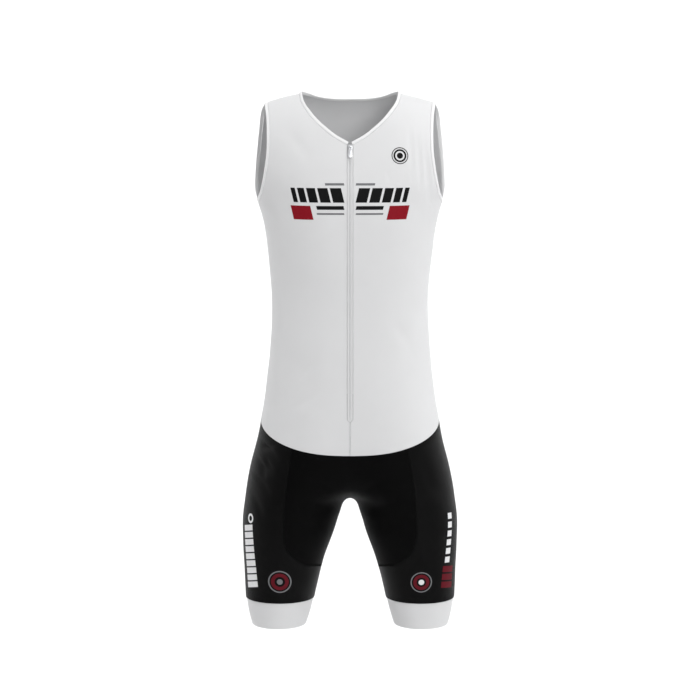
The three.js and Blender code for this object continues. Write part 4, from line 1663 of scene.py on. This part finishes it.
@dataclass
class Bindings(SubAssembly):
    """Folded elastic bindings of the neck and the armholes, with their stitches.

    Attributes:
        start: Gap to the cloth's edge.
        width: Width from the cloth's edge.
        proud: How far it stands over the cloth on both sides.
        cloth: Thickness of the cloth between.
        bulge: How far its outer face swells in the middle.
        stitch_at: Place of the stitches across it.
        stand: How far the neck binding turns up beside the neck, in radians.
        stand_place: Distance from the centre plane where it turns most.
        stand_reach: Distance over which it turns back.
        flare: How far an armhole binding turns outwards behind the arm, in radians.
    """

    start: float = 0.00016
    width: float = 0.0058
    proud: float = 0.0004
    cloth: float = 0.0012
    bulge: float = 0.00022
    stitch_at: float = 0.0013
    stand: float = 0.73
    stand_place: float = 0.084
    stand_reach: float = 0.015
    flare: float = 0.5

    def neck_lean(self, points: Array) -> Array:
        """Angles of the neck binding along its edge: a bell curve, highest at the side of the neck."""
        aside = (np.abs(points[:, 0]) - self.stand_place) / self.stand_reach
        return self.stand * np.exp(-(aside**2))

    def armhole_lean(self, points: Array) -> Array:
        """Angles of an armhole binding: full behind the arm, fading to the shoulder tip and the underarm."""
        z = points[:, 2]
        behind = smooth_step(points[:, 1] - self.pattern.form.centre(z), 0.005, 0.035)
        return self.flare * behind * smooth_step(z, -0.186, -0.150) * (1.0 - smooth_step(z, -0.040, -0.008))

    @staticmethod
    def leaned(path: Path, lean: Array, turn: float) -> Path:
        """Turn a path's directions so that a strip beside it leans outwards.

        Args:
            path: Edge of the cloth.
            lean: Angle at each point.
            turn: 1 where the strip lies on the left of the path, -1 on its right.

        Returns:
            The path with both directions turned about it.
        """
        cosine, sine = np.cos(lean)[:, None], turn * np.sin(lean)[:, None]
        across = path.across * cosine + path.normals * sine
        normals = path.normals * cosine - path.across * sine
        return Path(path.points, normals, across, path.lengths)

    def profile(self) -> tuple[Array, Array]:
        """Closed section: two swelling faces with a half round at the free edge and small ones at the seam.

        Returns:
            Places across the strip and heights over the cloth.
        """
        thick = self.cloth + 2.0 * self.proud
        middle = -self.cloth / 2.0
        half = thick / 2.0
        share = np.linspace(0.0, 1.0, 13)[1:-1]
        corner = 0.00042
        seam_turn = np.linspace(math.pi, math.pi / 2.0, 5)
        seam_w = self.start + corner + corner * np.cos(seam_turn)
        seam_h = half - corner + corner * np.sin(seam_turn)
        free_turn = np.linspace(math.pi / 2.0, 0.0, 7)
        free_w = self.width - half + half * np.cos(free_turn)
        free_h = half * np.sin(free_turn)
        face_w = seam_w[-1] + (free_w[0] - seam_w[-1]) * share
        dent = 0.00014 * np.exp(-(((face_w - self.stitch_at) / 0.0004) ** 2))
        face_h = half + self.bulge * np.sin(math.pi * share) - dent
        w = np.concatenate([seam_w, face_w, free_w])
        h = np.concatenate([seam_h, face_h, free_h])
        return np.concatenate([w, w[-2::-1]]), middle + np.concatenate([h, -h[-2::-1]])

    def sweep(self, name: str, path: Path, turn: float, closed: bool) -> Piece:
        """Carry the section along a path.

        Args:
            name: Name of the piece.
            path: Edge of the cloth.
            turn: 1 to lie on the left of the path, -1 on its right.
            closed: Whether the path is a loop.

        Returns:
            The piece.
        """
        w, h = self.profile()
        rings = (
            path.points[:, None]
            + path.across[:, None] * (w * turn)[None, :, None]
            + path.normals[:, None] * h[None, :, None]
        )
        count, size = rings.shape[:2]
        rim = np.concatenate([[0.0], np.cumsum(np.hypot(np.diff(w), np.diff(h)))])
        ids = np.arange(count * size).reshape(count, size)
        following = np.roll(ids, -1, axis=0) if closed else ids[1:]
        current = ids if closed else ids[:-1]
        a, b = current, np.roll(current, -1, axis=1)
        d, c = following, np.roll(following, -1, axis=1)
        cells = np.stack([a, d, c, b], axis=-1).reshape(-1, 4)
        step = path.lengths[1]
        rows = np.arange(len(current))[:, None] * step + np.zeros((1, size))
        low = np.broadcast_to(rim, rows.shape)
        high = np.broadcast_to(np.append(rim[1:], rim[-1] + 0.0004), rows.shape)
        corners = ((rows, low), (rows + step, low), (rows + step, high), (rows, high))
        marks = np.stack([np.stack(corner, axis=-1) for corner in corners], axis=2).reshape(-1, 4, 2)
        if not closed:
            half = (size - 1) // 2
            i = np.arange(half)
            end = np.stack([i, i + 1, size - 2 - i, size - 1 - i], axis=-1)
            cells = np.concatenate([cells, ids[0, end], ids[-1, end[:, [1, 0, 3, 2]]]])
            marks = np.concatenate([marks, np.zeros((2 * half, 4, 2))])
        if turn < 0.0:
            cells, marks = cells[:, ::-1], marks[:, ::-1]
        return build_mesh(name, rings.reshape(-1, 3), cells, marks)

    def build(self) -> dict[str, Piece]:
        """Make the bindings and their stitches.

        Returns:
            Pieces by node, with stitches under the node's name and the word stitches.
        """
        pattern = self.pattern
        underarm = len(pattern.torso_levels) - 1
        front = pattern.front.points[underarm:, -1]
        back = pattern.back.points[underarm:, -1]
        armhole = np.concatenate([front, back[-2:0:-1]])
        foot = underarm + 1 + pattern.neck_row
        nape = pattern.back.points[-1, : pattern.NECK_STEPS + 1]
        left = np.concatenate([pattern.front.points[foot:, 0], nape[-2::-1]])
        neck = np.concatenate([left, mirrored(left)[-2::-1]])
        edges = {
            "armhole_binding_left": (armhole, -1.0, True),
            "armhole_binding_right": (mirrored(armhole), 1.0, True),
            "neck_binding": (neck, 1.0, False),
        }
        thread = Thread(stitch=0.0024, dip=0.0008)
        pieces: dict[str, Piece] = {}
        for node, (edge, turn, closed) in edges.items():
            path = Path.along(self.drape, edge, 0.0022, closed)
            lean = self.neck_lean(path.points) if node == "neck_binding" else self.armhole_lean(path.points)
            path = self.leaned(path, lean, turn)
            strip = self.sweep(f"{node}_strip", path, turn, closed)
            pieces[node] = finish_piece(strip, self.finishes.binding, "binding_band", [node])
            lines, ups = thread.row(path, turn * self.stitch_at)
            sewn = thread.sew(f"{node}_stitches", [(lines + ups * self.proud, ups)])
            pieces[f"{node}_stitches"] = finish_piece(sewn, self.finishes.light_thread)
        return pieces


@dataclass
class ZipFastener(SubAssembly):
    """Zip: tape, closed coil, stitches beside it, slider and pull tab.

    Attributes:
        thick: Thickness of the tape.
        sunk: How far the tape lies under the cloth's face.
        roll_high: Height of the two soft rolls of the tape beside the coil.
        roll_at: Distance of their crests from the middle.
        pitch: Distance between two coil turns of one side.
        turn_half: Reach of a coil turn from the middle.
        turn_high: Height of a coil turn.
    """

    thick: float = 0.0010
    sunk: float = 0.0002
    roll_high: float = 0.0005
    roll_at: float = 0.0031
    pitch: float = 0.0015
    turn_half: float = 0.00155
    turn_high: float = 0.00062

    def tape(self) -> Piece:
        """Strip between the front panels, as wide as their opening, with a soft roll on each side.

        Returns:
            The tape.
        """
        cut, form = self.pattern.cut, self.pattern.form
        point = cut.zip_end + np.linspace(0.0003, 0.006, 8)
        z = np.concatenate([point, np.arange(-0.5415, cut.zip_top, 0.003), [cut.zip_top]])[:, None]
        half = cut.zip_half * np.clip((z - cut.zip_end) / cut.zip_point, 0.0, 1.0)
        x = half * np.linspace(-1.0, 1.0, 25)[None, :]
        points = form.cloth(Facing.FRONT, x, z)
        roll = self.roll_high * np.exp(-(((np.abs(x) - self.roll_at) / 0.0009) ** 2))
        points = points + form.normal(points) * roll[..., None]
        patch = Patch.of(points, Seams(left=True, right=True, bottom=True, top=True))
        shell = Shell(self.drape, Wall(self.thick, lift=-self.sunk, bend=0.0003))
        shell.add(patch)
        return shell.mesh("zip_chain_tape")

    def coil(self) -> Piece:
        """Turns of the closed coil: short half ellipsoids on each side that mesh with the other side's.

        Returns:
            The coil.
        """
        cut, form = self.pattern.cut, self.pattern.form
        count = int((cut.zip_top - 0.001 - cut.zip_end - 0.005) / self.pitch)
        z = cut.zip_end + 0.005 + self.pitch * np.arange(count)
        z = np.concatenate([z, z + self.pitch / 2.0])
        side = np.repeat([-1.0, 1.0], count)
        middle, normals = self.drape.lay(form.cloth(Facing.FRONT, np.zeros_like(z), z))
        across = unit(np.cross(normals, np.array([0.0, 0.0, 1.0])))
        places = np.linspace(-1.0, 1.0, 6)
        half = (self.turn_half + 0.00035) / 2.0
        lane = side[:, None] * (self.turn_half - half) + half * places[None, :]
        high = self.turn_high * np.sqrt(np.maximum(0.05, 1.0 - 0.8 * places**2)) - self.sunk - 0.0002
        lines = middle[:, None] + across[:, None] * lane[..., None] + normals[:, None] * high[None, :, None]
        ups = np.broadcast_to(normals[:, None], lines.shape)
        radii = 0.00044 * np.array([0.45, 0.9, 1.0, 1.0, 0.9, 0.45])
        return tubes("zip_chain_coil", lines, ups, radii)

    def bevelled(self, node: str, name: str, width: float) -> Piece:
        """Copy of a CAD node with merged points and rounded edges.

        Args:
            node: Name of the node.
            name: Name of the copy.
            width: Radius of the edges.

        Returns:
            The copy.
        """
        source = frame["nodes"][node]
        mesh = source.data.copy()
        mesh.name = name
        mesh.transform(source.matrix_world)
        shape = bmesh.new()
        shape.from_mesh(mesh)
        bmesh.ops.remove_doubles(shape, verts=shape.verts, dist=WELD)
        flat = math.radians(1.0)
        bmesh.ops.dissolve_limit(shape, angle_limit=flat, verts=shape.verts, edges=shape.edges)
        shape.to_mesh(mesh)
        shape.free()
        mesh.polygons.foreach_set("use_smooth", np.ones(len(mesh.polygons), dtype=bool))
        piece = bpy.data.objects.new(name, mesh)
        bpy.context.scene.collection.objects.link(piece)
        bevel = piece.modifiers.new("rounded_edges", "BEVEL")
        bevel.width = width
        bevel.segments = 3
        bevel.limit_method = "ANGLE"
        bevel.angle_limit = math.radians(35.0)
        bevel.harden_normals = True
        return piece

    def topstitch(self) -> Piece:
        """Row of stitches beside the zip on both front panels, joined in a point under its end.

        Returns:
            The stitches.
        """
        cut, form = self.pattern.cut, self.pattern.form
        reach = cut.zip_half + 0.0016
        upright = np.linspace(cut.zip_end + 0.0048, cut.zip_top - 0.003, 180)
        z = np.concatenate([[cut.zip_end - 0.0035], upright])
        x = np.full_like(z, reach)
        x[0] = 0.0
        left = form.cloth(Facing.FRONT, x, z)
        thread = Thread()
        laid = [thread.row(Path.along(self.drape, side, 0.002), 0.0) for side in (left, mirrored(left))]
        return thread.sew("stitches_zip", laid)

    def build(self) -> dict[str, Piece]:
        """Make the zip.

        Returns:
            Its pieces by name.
        """
        finishes = self.finishes
        pieces = {
            "zip_chain": finish_piece(self.tape(), finishes.tape, "zip_tape", ["zip_chain"]),
            "coil": finish_piece(self.coil(), finishes.coil, "zip_tape"),
            "topstitch": finish_piece(self.topstitch(), finishes.light_thread),
        }
        for node, edge, body in (("zip_slider", 0.00028, SUIT), ("zip_pull_tab", 0.0003, PULL_TAB)):
            shape = self.bevelled(node, f"{node}_body", edge)
            pieces[node] = finish_piece(shape, finishes.metal, "zip_metal", [node], body)
        return pieces


@dataclass(frozen=True)
class Bar:
    """One slanted bar of a plain print, given on the wearer's left.

    Attributes:
        inner: Distance of its lower inner corner from the centre plane.
        outer: Distance of its lower outer corner.
        low: Height of its lower edge.
        high: Height of its upper edge.
        slant: How far its upper edge lies outwards.
        ink: Name of its finish.
    """

    inner: float
    outer: float
    low: float
    high: float
    slant: float
    ink: str


@dataclass
class Prints:
    """Plain printed motifs: slanted bars, stripes and rings, as thin films on the cloth.

    Attributes:
        drape: The creased form.
        finishes: Materials.
        cell: Size of the film's cells.
        thick: Thickness of the film.
        lift: Height of its outer face over the cloth.
    """

    drape: Drape
    finishes: Finishes
    cell: float = 0.0016
    thick: float = 0.00022
    lift: float = 0.00016

    CHEST: tuple[Bar, ...] = (
        Bar(0.0095, 0.0285, -0.1690, -0.1445, 0.0060, "black"),
        Bar(0.0325, 0.0500, -0.1690, -0.1445, 0.0060, "black"),
        Bar(0.0540, 0.0690, -0.1690, -0.1445, 0.0060, "black"),
        Bar(0.0730, 0.0845, -0.1690, -0.1445, 0.0060, "black"),
        Bar(0.0885, 0.0960, -0.1690, -0.1445, 0.0060, "black"),
        Bar(0.0095, 0.0420, -0.1400, -0.1362, 0.0010, "grey"),
        Bar(0.0095, 0.0560, -0.1812, -0.1748, 0.0016, "black"),
        Bar(0.0095, 0.0560, -0.1898, -0.1868, 0.0008, "grey"),
        Bar(0.0620, 0.0960, -0.1985, -0.1748, 0.0058, "red"),
    )

    # Name, panel, side, middle, then inner radius, outer radius and ink of each ring
    ROUNDS = (
        ("print_badge", "top_front_left", Side.LEFT, (0.0850, -0.0905), (
            (0.0131, 0.0145, "black"), (0.0082, 0.0112, "black"), (0.0, 0.0052, "black"),
        )),
        ("print_roundel_right", "shorts_leg_right", Side.RIGHT, (0.1225, -0.8355), (
            (0.0182, 0.0205, "grey"), (0.0092, 0.0156, "wine"), (0.0, 0.0052, "grey"),
        )),
        ("print_roundel_left", "shorts_leg_left", Side.LEFT, (0.1245, -0.8365), (
            (0.0168, 0.0188, "grey"), (0.0084, 0.0142, "wine"), (0.0, 0.0050, "white"),
        )),
    )
    # Name, side, count, top, pitch, height, outer and inner distance from the side line, slant, ink
    ROWS = (
        ("print_slat_right", Side.RIGHT, 9, -0.7430, 0.0126, 0.0102, 0.0300, 0.0600, 0.006, "white"),
        ("print_dash_left", Side.LEFT, 6, -0.7180, 0.0155, 0.0105, 0.0460, 0.0590, 0.001, "white"),
        ("print_block_left", Side.LEFT, 3, -0.8145, 0.0140, 0.0110, 0.0320, 0.0620, 0.004, "wine"),
    )

    def film(self, name: str, points: Array, ink: str, side: Side = Side.LEFT) -> Piece:
        """Make a film of a grid on the smooth form.

        Args:
            name: Name of the piece.
            points: Grid whose rows go up.
            ink: Name of its finish.
            side: RIGHT mirrors it.

        Returns:
            The film.
        """
        shell = Shell(self.drape, Wall(self.thick, gap=0.0, bend=0.0001, lift=self.lift))
        shell.add(Patch.of(points, Seams()), side)
        return finish_piece(shell.mesh(name), getattr(self.finishes, f"print_{ink}"))

    def bar(self, name: str, bar: Bar, side: Side) -> Piece:
        """Film of one bar on the chest.

        Args:
            name: Name of the piece.
            bar: The bar.
            side: Side of the body.

        Returns:
            The film.
        """
        rows = max(2, math.ceil((bar.high - bar.low) / self.cell))
        columns = max(2, math.ceil((bar.outer - bar.inner) / self.cell))
        up = np.linspace(0.0, 1.0, rows + 1)[:, None]
        along = np.linspace(0.0, 1.0, columns + 1)[None, :]
        x = bar.inner + (bar.outer - bar.inner) * along + bar.slant * up
        z = bar.low + (bar.high - bar.low) * up + np.zeros_like(x)
        return self.film(name, self.drape.form.cloth(Facing.FRONT, x, z), bar.ink, side)

    def ring(
        self, name: str, middle: tuple[float, float], inner: float, outer: float, ink: str, side: Side
    ) -> Piece:
        """Film of a ring, or of a disc where its inner radius is zero.

        Distances from its middle are measured in the slope of the cloth, so that it is round there.

        Args:
            name: Name of the piece.
            middle: Distance from the centre plane and height of its middle.
            inner: Inner radius.
            outer: Outer radius.
            ink: Name of its finish.
            side: Side of the body.

        Returns:
            The film.
        """
        form = self.drape.form
        centre = form.cloth(Facing.FRONT, np.array(middle[0]), np.array(middle[1]))
        normal = form.normal(centre)
        across = np.cross(np.array([0.0, 0.0, 1.0]), normal)
        across /= np.linalg.norm(across)
        upward = np.cross(normal, across)
        steps = max(2, math.ceil((outer - inner) / self.cell))
        radius = np.linspace(max(inner, 0.00005), outer, steps + 1)[:, None]
        turn = np.linspace(0.0, 2.0 * math.pi, 49)[None, :]
        aside, over = radius * np.cos(turn), radius * np.sin(turn)
        place = centre + across * aside[..., None] + upward * over[..., None]
        points = form.cloth(Facing.FRONT, place[..., 0], place[..., 2])
        points[:, -1] = points[:, 0]
        return self.film(name, points[::-1], ink, side)

    def stripe(
        self,
        name: str,
        outer: float,
        inner: float,
        low: float,
        high: float,
        slant: float,
        ink: str,
        side: Side,
    ) -> Piece:
        """Film of an upright stripe on the outside of a thigh, at even distances from the side line.

        Args:
            name: Name of the piece.
            outer: Distance of its outer edge from the side line, along the cloth.
            inner: Distance of its inner edge.
            low: Height of its lower end.
            high: Height of its upper end.
            slant: How much higher its inner corners lie.
            ink: Name of its finish.
            side: Side of the body.

        Returns:
            The film.
        """
        form = self.drape.form
        rows = max(3, math.ceil((high - low) / 0.002))
        columns = max(3, math.ceil((inner - outer) / self.cell))
        levels = np.linspace(low, high, rows + 1)
        away = np.linspace(inner, outer, columns + 1)
        lean = slant * (away - outer) / (inner - outer)
        found = np.zeros((rows + 1, columns + 1, 3))
        for k in range(columns + 1):
            lines = form.leg_lines(Facing.FRONT, levels + lean[k])
            found[:, k] = lines.spread(lines.whole[:, None] - away[k])[:, 0]
        return self.film(name, found, ink, side)

    def build(self) -> dict[str, list[Piece]]:
        """Make every film.

        Returns:
            Films by the node that they lie on.
        """
        films: dict[str, list[Piece]] = {}
        for side in (Side.LEFT, Side.RIGHT):
            bars = [self.bar(f"print_bar_{k}_{side.word}", bar, side) for k, bar in enumerate(self.CHEST)]
            films[f"top_front_{side.word}"] = bars
            films[f"shorts_leg_{side.word}"] = []
        for name, node, side, middle, rings in self.ROUNDS:
            for k, (inner, outer, ink) in enumerate(rings):
                films[node].append(self.ring(f"{name}_{k}", middle, inner, outer, ink, side))
        ring = self.ring("print_ring_right", (0.1735, -0.7270), 0.0048, 0.0085, "white", Side.RIGHT)
        films["shorts_leg_right"].append(ring)
        for name, side, count, top, pitch, tall, outer, inner, slant, ink in self.ROWS:
            for k in range(count):
                high = top - pitch * k
                film = self.stripe(f"{name}_{k}", outer, inner, high - tall, high, slant, ink, side)
                films[f"shorts_leg_{side.word}"].append(film)
        return films


@dataclass
class Studio:
    """Camera, lights, floor and backdrop.

    Attributes:
        aim: Point that the camera looks at.
        distance: Distance of the camera from it.
        elevation: Height of the camera over the horizon, in degrees.
        frame_height: Height of the picture at the aim.
        floor: Height of the floor.
    """

    aim: tuple[float, float, float] = (0.0, 0.0, -0.437)
    distance: float = 5.0
    elevation: float = 8.0
    frame_height: float = 1.225
    floor: float = -1.95

    # Name, place, target, side and power in watts
    LIGHTS = (
        ("key", (1.7, -3.2, 2.2), (0.05, 0.0, -0.30), 1.4, 56.0),
        ("front", (1.5, -6.2, 0.7), (0.0, 0.0, -0.3), 2.2, 84.0),
        ("top", (0.1, -0.6, 2.4), (0.0, 0.0, 0.0), 1.2, 22.0),
        ("backdrop_right", (-2.6, 0.9, 0.9), (-0.8, 3.4, -0.6), 2.2, 62.0),
        ("backdrop_left", (2.6, 0.9, 0.9), (0.8, 3.4, -0.6), 2.2, 62.0),
    )

    def build(self) -> None:
        """Put up the studio."""
        self.add_camera()
        self.add_stage()
        self.add_lights()
        world = bpy.data.worlds.new("studio_air")
        world.use_nodes = True
        sky = world.node_tree.nodes["Background"]
        sky.inputs["Color"].default_value = (1.0, 1.0, 1.0, 1.0)
        sky.inputs["Strength"].default_value = 0.34
        bpy.context.scene.world = world
        bpy.context.scene.view_settings.view_transform = "Standard"

    def add_camera(self) -> None:
        """Place the camera that matches the photograph's view."""
        lens = bpy.data.cameras.new("camera")
        lens.sensor_fit = "HORIZONTAL"
        lens.sensor_width = 36.0
        lens.lens = 36.0 * self.distance / self.frame_height
        camera = bpy.data.objects.new("camera", lens)
        bpy.context.scene.collection.objects.link(camera)
        tilt = math.radians(self.elevation)
        away = Vector((0.0, -math.cos(tilt), math.sin(tilt)))
        camera.location = Vector(self.aim) + away * self.distance
        camera.rotation_euler = away.to_track_quat("Z", "Y").to_euler()
        bpy.context.scene.camera = camera

    def add_lights(self) -> None:
        """Hang the soft square lights."""
        for name, place, target, size, power in self.LIGHTS:
            data = bpy.data.lights.new(name, "AREA")
            data.size = size
            data.energy = power
            light = bpy.data.objects.new(name, data)
            light.location = place
            light.rotation_euler = (Vector(place) - Vector(target)).to_track_quat("Z", "Y").to_euler()
            bpy.context.scene.collection.objects.link(light)

    def add_stage(self) -> None:
        """Floor that bends up into the backdrop: flat, then a quarter circle, then upright."""
        bend, reach, side = 0.9, 2.2, 5.0
        turn = np.linspace(0.0, math.pi / 2.0, 25)
        y = np.concatenate([[-4.0], reach + bend * np.sin(turn), [reach + bend]])
        z = self.floor + np.concatenate([[0.0], bend * (1.0 - np.cos(turn)), [5.0]])
        points = np.stack([np.stack([np.full(len(y), x), y, z], axis=-1) for x in (-side, side)])
        ids = np.arange(points.shape[0] * points.shape[1]).reshape(points.shape[:2])
        cells = np.stack([ids[0, :-1], ids[1, :-1], ids[1, 1:], ids[0, 1:]], axis=-1)
        sweep = build_mesh("floor_and_backdrop", points.reshape(-1, 3), cells)
        paper = Paint("pale_paper")
        paper.set("Roughness", 0.85)
        paper.mottle((0.93, 0.93, 0.935), 0.002, 160.0)
        self.clear_from_behind(paper)
        sweep.data.materials.append(paper.material)
        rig.stage(sweep)

    @staticmethod
    def clear_from_behind(paper: Paint) -> None:
        """Let a camera behind the backdrop see through it, where the faces' backs are seen.

        Args:
            paper: The backdrop's material.
        """
        backs = paper.nodes.new("ShaderNodeNewGeometry").outputs["Backfacing"]
        rays = paper.nodes.new("ShaderNodeLightPath").outputs["Is Camera Ray"]
        clear, mixed = paper.nodes.new("ShaderNodeBsdfTransparent"), paper.nodes.new("ShaderNodeMixShader")
        paper.links.new(paper.math("MULTIPLY", backs, rays), mixed.inputs[0])
        paper.links.new(paper.shader.outputs["BSDF"], mixed.inputs[1])
        paper.links.new(clear.outputs["BSDF"], mixed.inputs[2])
        paper.links.new(mixed.outputs[0], paper.output.inputs["Surface"])


# Creases: first end, last end, half breadth, depth and bow
FRONT_CREASES = (
    # Right hip, small slanting folds under the waist seam
    ((-0.166, -0.585), (-0.118, -0.628), 0.0050, 0.0022, 0.003),
    ((-0.170, -0.612), (-0.126, -0.652), 0.0045, 0.0021, -0.003),
    ((-0.158, -0.602), (-0.126, -0.596), 0.0040, 0.0020),
    ((-0.149, -0.612), (-0.130, -0.640), 0.0042, 0.0024, -0.003),
    ((-0.158, -0.626), (-0.148, -0.660), 0.0042, 0.0022, 0.002),
    ((-0.174, -0.644), (-0.134, -0.690), 0.0050, 0.0018, 0.004),
    ((-0.176, -0.672), (-0.150, -0.735), 0.0060, 0.0015, 0.003),
    # Left hip, one long soft fold
    ((0.120, -0.590), (0.160, -0.700), 0.0110, 0.0016, -0.006),
    # From the crotch over both thighs
    ((0.012, -0.682), (0.086, -0.640), 0.0080, 0.0011, 0.005),
    ((-0.012, -0.682), (-0.084, -0.644), 0.0080, 0.0011, -0.005),
    ((0.026, -0.716), (0.084, -0.690), 0.0070, 0.0008, 0.004),
    ((-0.024, -0.714), (-0.080, -0.686), 0.0070, 0.0008, -0.004),
    # Lower belly, faint drags towards the right hip
    ((-0.030, -0.470), (-0.122, -0.540), 0.0080, 0.0013, 0.006),
    ((-0.052, -0.440), (-0.098, -0.490), 0.0060, 0.0011, -0.004),
    ((0.060, -0.360), (0.118, -0.455), 0.0110, 0.0014, 0.006),
    ((-0.112, -0.330), (-0.124, -0.450), 0.0100, -0.0008),
    # Left shoulder, upright drags beside the armhole
    ((0.100, -0.030), (0.106, -0.140), 0.0042, 0.0014, 0.002),
    ((0.113, -0.040), (0.121, -0.170), 0.0042, 0.0017, 0.002),
    ((0.126, -0.055), (0.136, -0.195), 0.0046, 0.0017, 0.002),
    ((0.062, -0.110), (0.070, -0.142), 0.0040, 0.0008),
    # Right shoulder to the neckline, soft slanting drags
    ((-0.130, -0.030), (-0.060, -0.115), 0.0120, 0.0018, 0.006),
    ((-0.138, -0.110), (-0.088, -0.215), 0.0140, 0.0020, -0.006),
)
BACK_CREASES = (
    # Back: blades, small of the back, seat and thighs
    ((0.130, -0.060), (0.050, -0.170), 0.0110, 0.0012, -0.006),
    ((-0.126, -0.070), (-0.046, -0.185), 0.0110, 0.0012, 0.006),
    ((0.120, -0.200), (0.070, -0.330), 0.0120, 0.0010, 0.005),
    ((-0.124, -0.215), (-0.080, -0.320), 0.0120, 0.0009, -0.005),
    ((-0.080, -0.430), (0.085, -0.422), 0.0085, 0.0014, 0.006),
    ((-0.094, -0.455), (0.060, -0.462), 0.0080, 0.0012, -0.005),
    ((-0.040, -0.486), (0.104, -0.480), 0.0075, 0.0009, 0.004),
    ((0.014, -0.690), (0.110, -0.724), 0.0080, 0.0013, 0.006),
    ((-0.014, -0.690), (-0.106, -0.728), 0.0080, 0.0013, -0.006),
    ((0.040, -0.742), (0.132, -0.752), 0.0075, 0.0009, 0.004),
    ((-0.044, -0.744), (-0.138, -0.748), 0.0075, 0.0009, -0.004),
    ((0.130, -0.580), (0.164, -0.690), 0.0120, 0.0010, 0.005),
    ((-0.128, -0.575), (-0.160, -0.700), 0.0120, 0.0010, -0.005),
)


class TriathlonSuit:
    """The whole suit, put together from its sub-assemblies."""

    CUTS: dict[str, FlatCut] = {
        "top_front_left": FlatCut(
            (0.204, 0.625), 0.0925, ("top_back",),
            ("side_left", "shoulder_left", "centre_front", "zip_chain", "coil", "topstitch"),
        ),
        "top_front_right": FlatCut((0.204, 0.625), 0.0925, ("top_back",), ("side_right", "shoulder_right")),
        "top_back": FlatCut(
            (0.397, 0.582), 0.1848, (),
            (
                "neck_binding", "neck_binding_stitches",
                "armhole_binding_left", "armhole_binding_left_stitches",
                "armhole_binding_right", "armhole_binding_right_stitches",
            ),
        ),
        "shorts_front_insert": FlatCut(
            (0.304, 0.236), 0.0484, ("top_front_left", "top_front_right"), ("waist",)
        ),
        "shorts_leg_left": FlatCut(
            (0.414, 0.385), 0.1109, ("top_back", "top_front_left"),
            ("insert_left", "inseam_left", "centre_back"),
        ),
        "shorts_leg_right": FlatCut(
            (0.414, 0.385), 0.1109, ("top_back", "top_front_right"), ("insert_right", "inseam_right")
        ),
        "leg_gripper_left": FlatCut((0.343, 0.0485), 0.01553, ("shorts_leg_left",), ("cuff_left",)),
        "leg_gripper_right": FlatCut((0.343, 0.0485), 0.01553, ("shorts_leg_right",), ("cuff_right",)),
    }

    def __init__(self) -> None:
        """Work out the form, its creases and the pattern."""
        self.form = SuitForm(Cut())
        creases = [Crease(Facing.FRONT, *row) for row in FRONT_CREASES]
        creases += [Crease(Facing.BACK, *row) for row in BACK_CREASES]
        self.drape = Drape(self.form, creases)
        self.pattern = Pattern(self.form)
        self.finishes = Finishes()

    def build(self) -> None:
        """Make every piece."""
        panels = ClothPanels(self.pattern, self.drape, self.finishes).build()
        seams = Seamwork(self.pattern, self.drape, self.finishes).build()
        bindings = Bindings(self.pattern, self.drape, self.finishes).build()
        zipper = ZipFastener(self.pattern, self.drape, self.finishes).build()
        films = Prints(self.drape, self.finishes).build()
        trims = {**seams, **bindings, **zipper}
        for node, cut in self.CUTS.items():
            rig.sheet(
                panels[node],
                flat=cut.size,
                held="stretched",
                rests_on=[panels[name].name for name in cut.hangs_from],
                area=cut.area,
                with_pieces=[trims[name] for name in cut.trims] + films.get(node, []),
            )
        log.info("%d panels, %d trims and films on %d panels", len(panels), len(trims), len(films))


def write_size(key: str) -> None:
    """Write the size of what shows to the size file.

    Args:
        key: Which moment it was measured at.
    """
    low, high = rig.bounds()
    sizes = {}
    if key == "finished":
        with open(SIZE_FILE, encoding="utf-8") as source:
            sizes = json.load(source)
    sizes[key] = [[float(v) for v in low], [float(v) for v in high]]
    with open(SIZE_FILE, "w", encoding="utf-8") as target:
        json.dump(sizes, target)


def main() -> None:
    """Build the suit in its studio."""
    logging.basicConfig(level=logging.INFO)
    write_size("solids")
    TriathlonSuit().build()
    Studio().build()
    write_size("finished")


if __name__ == "__main__":
    main()
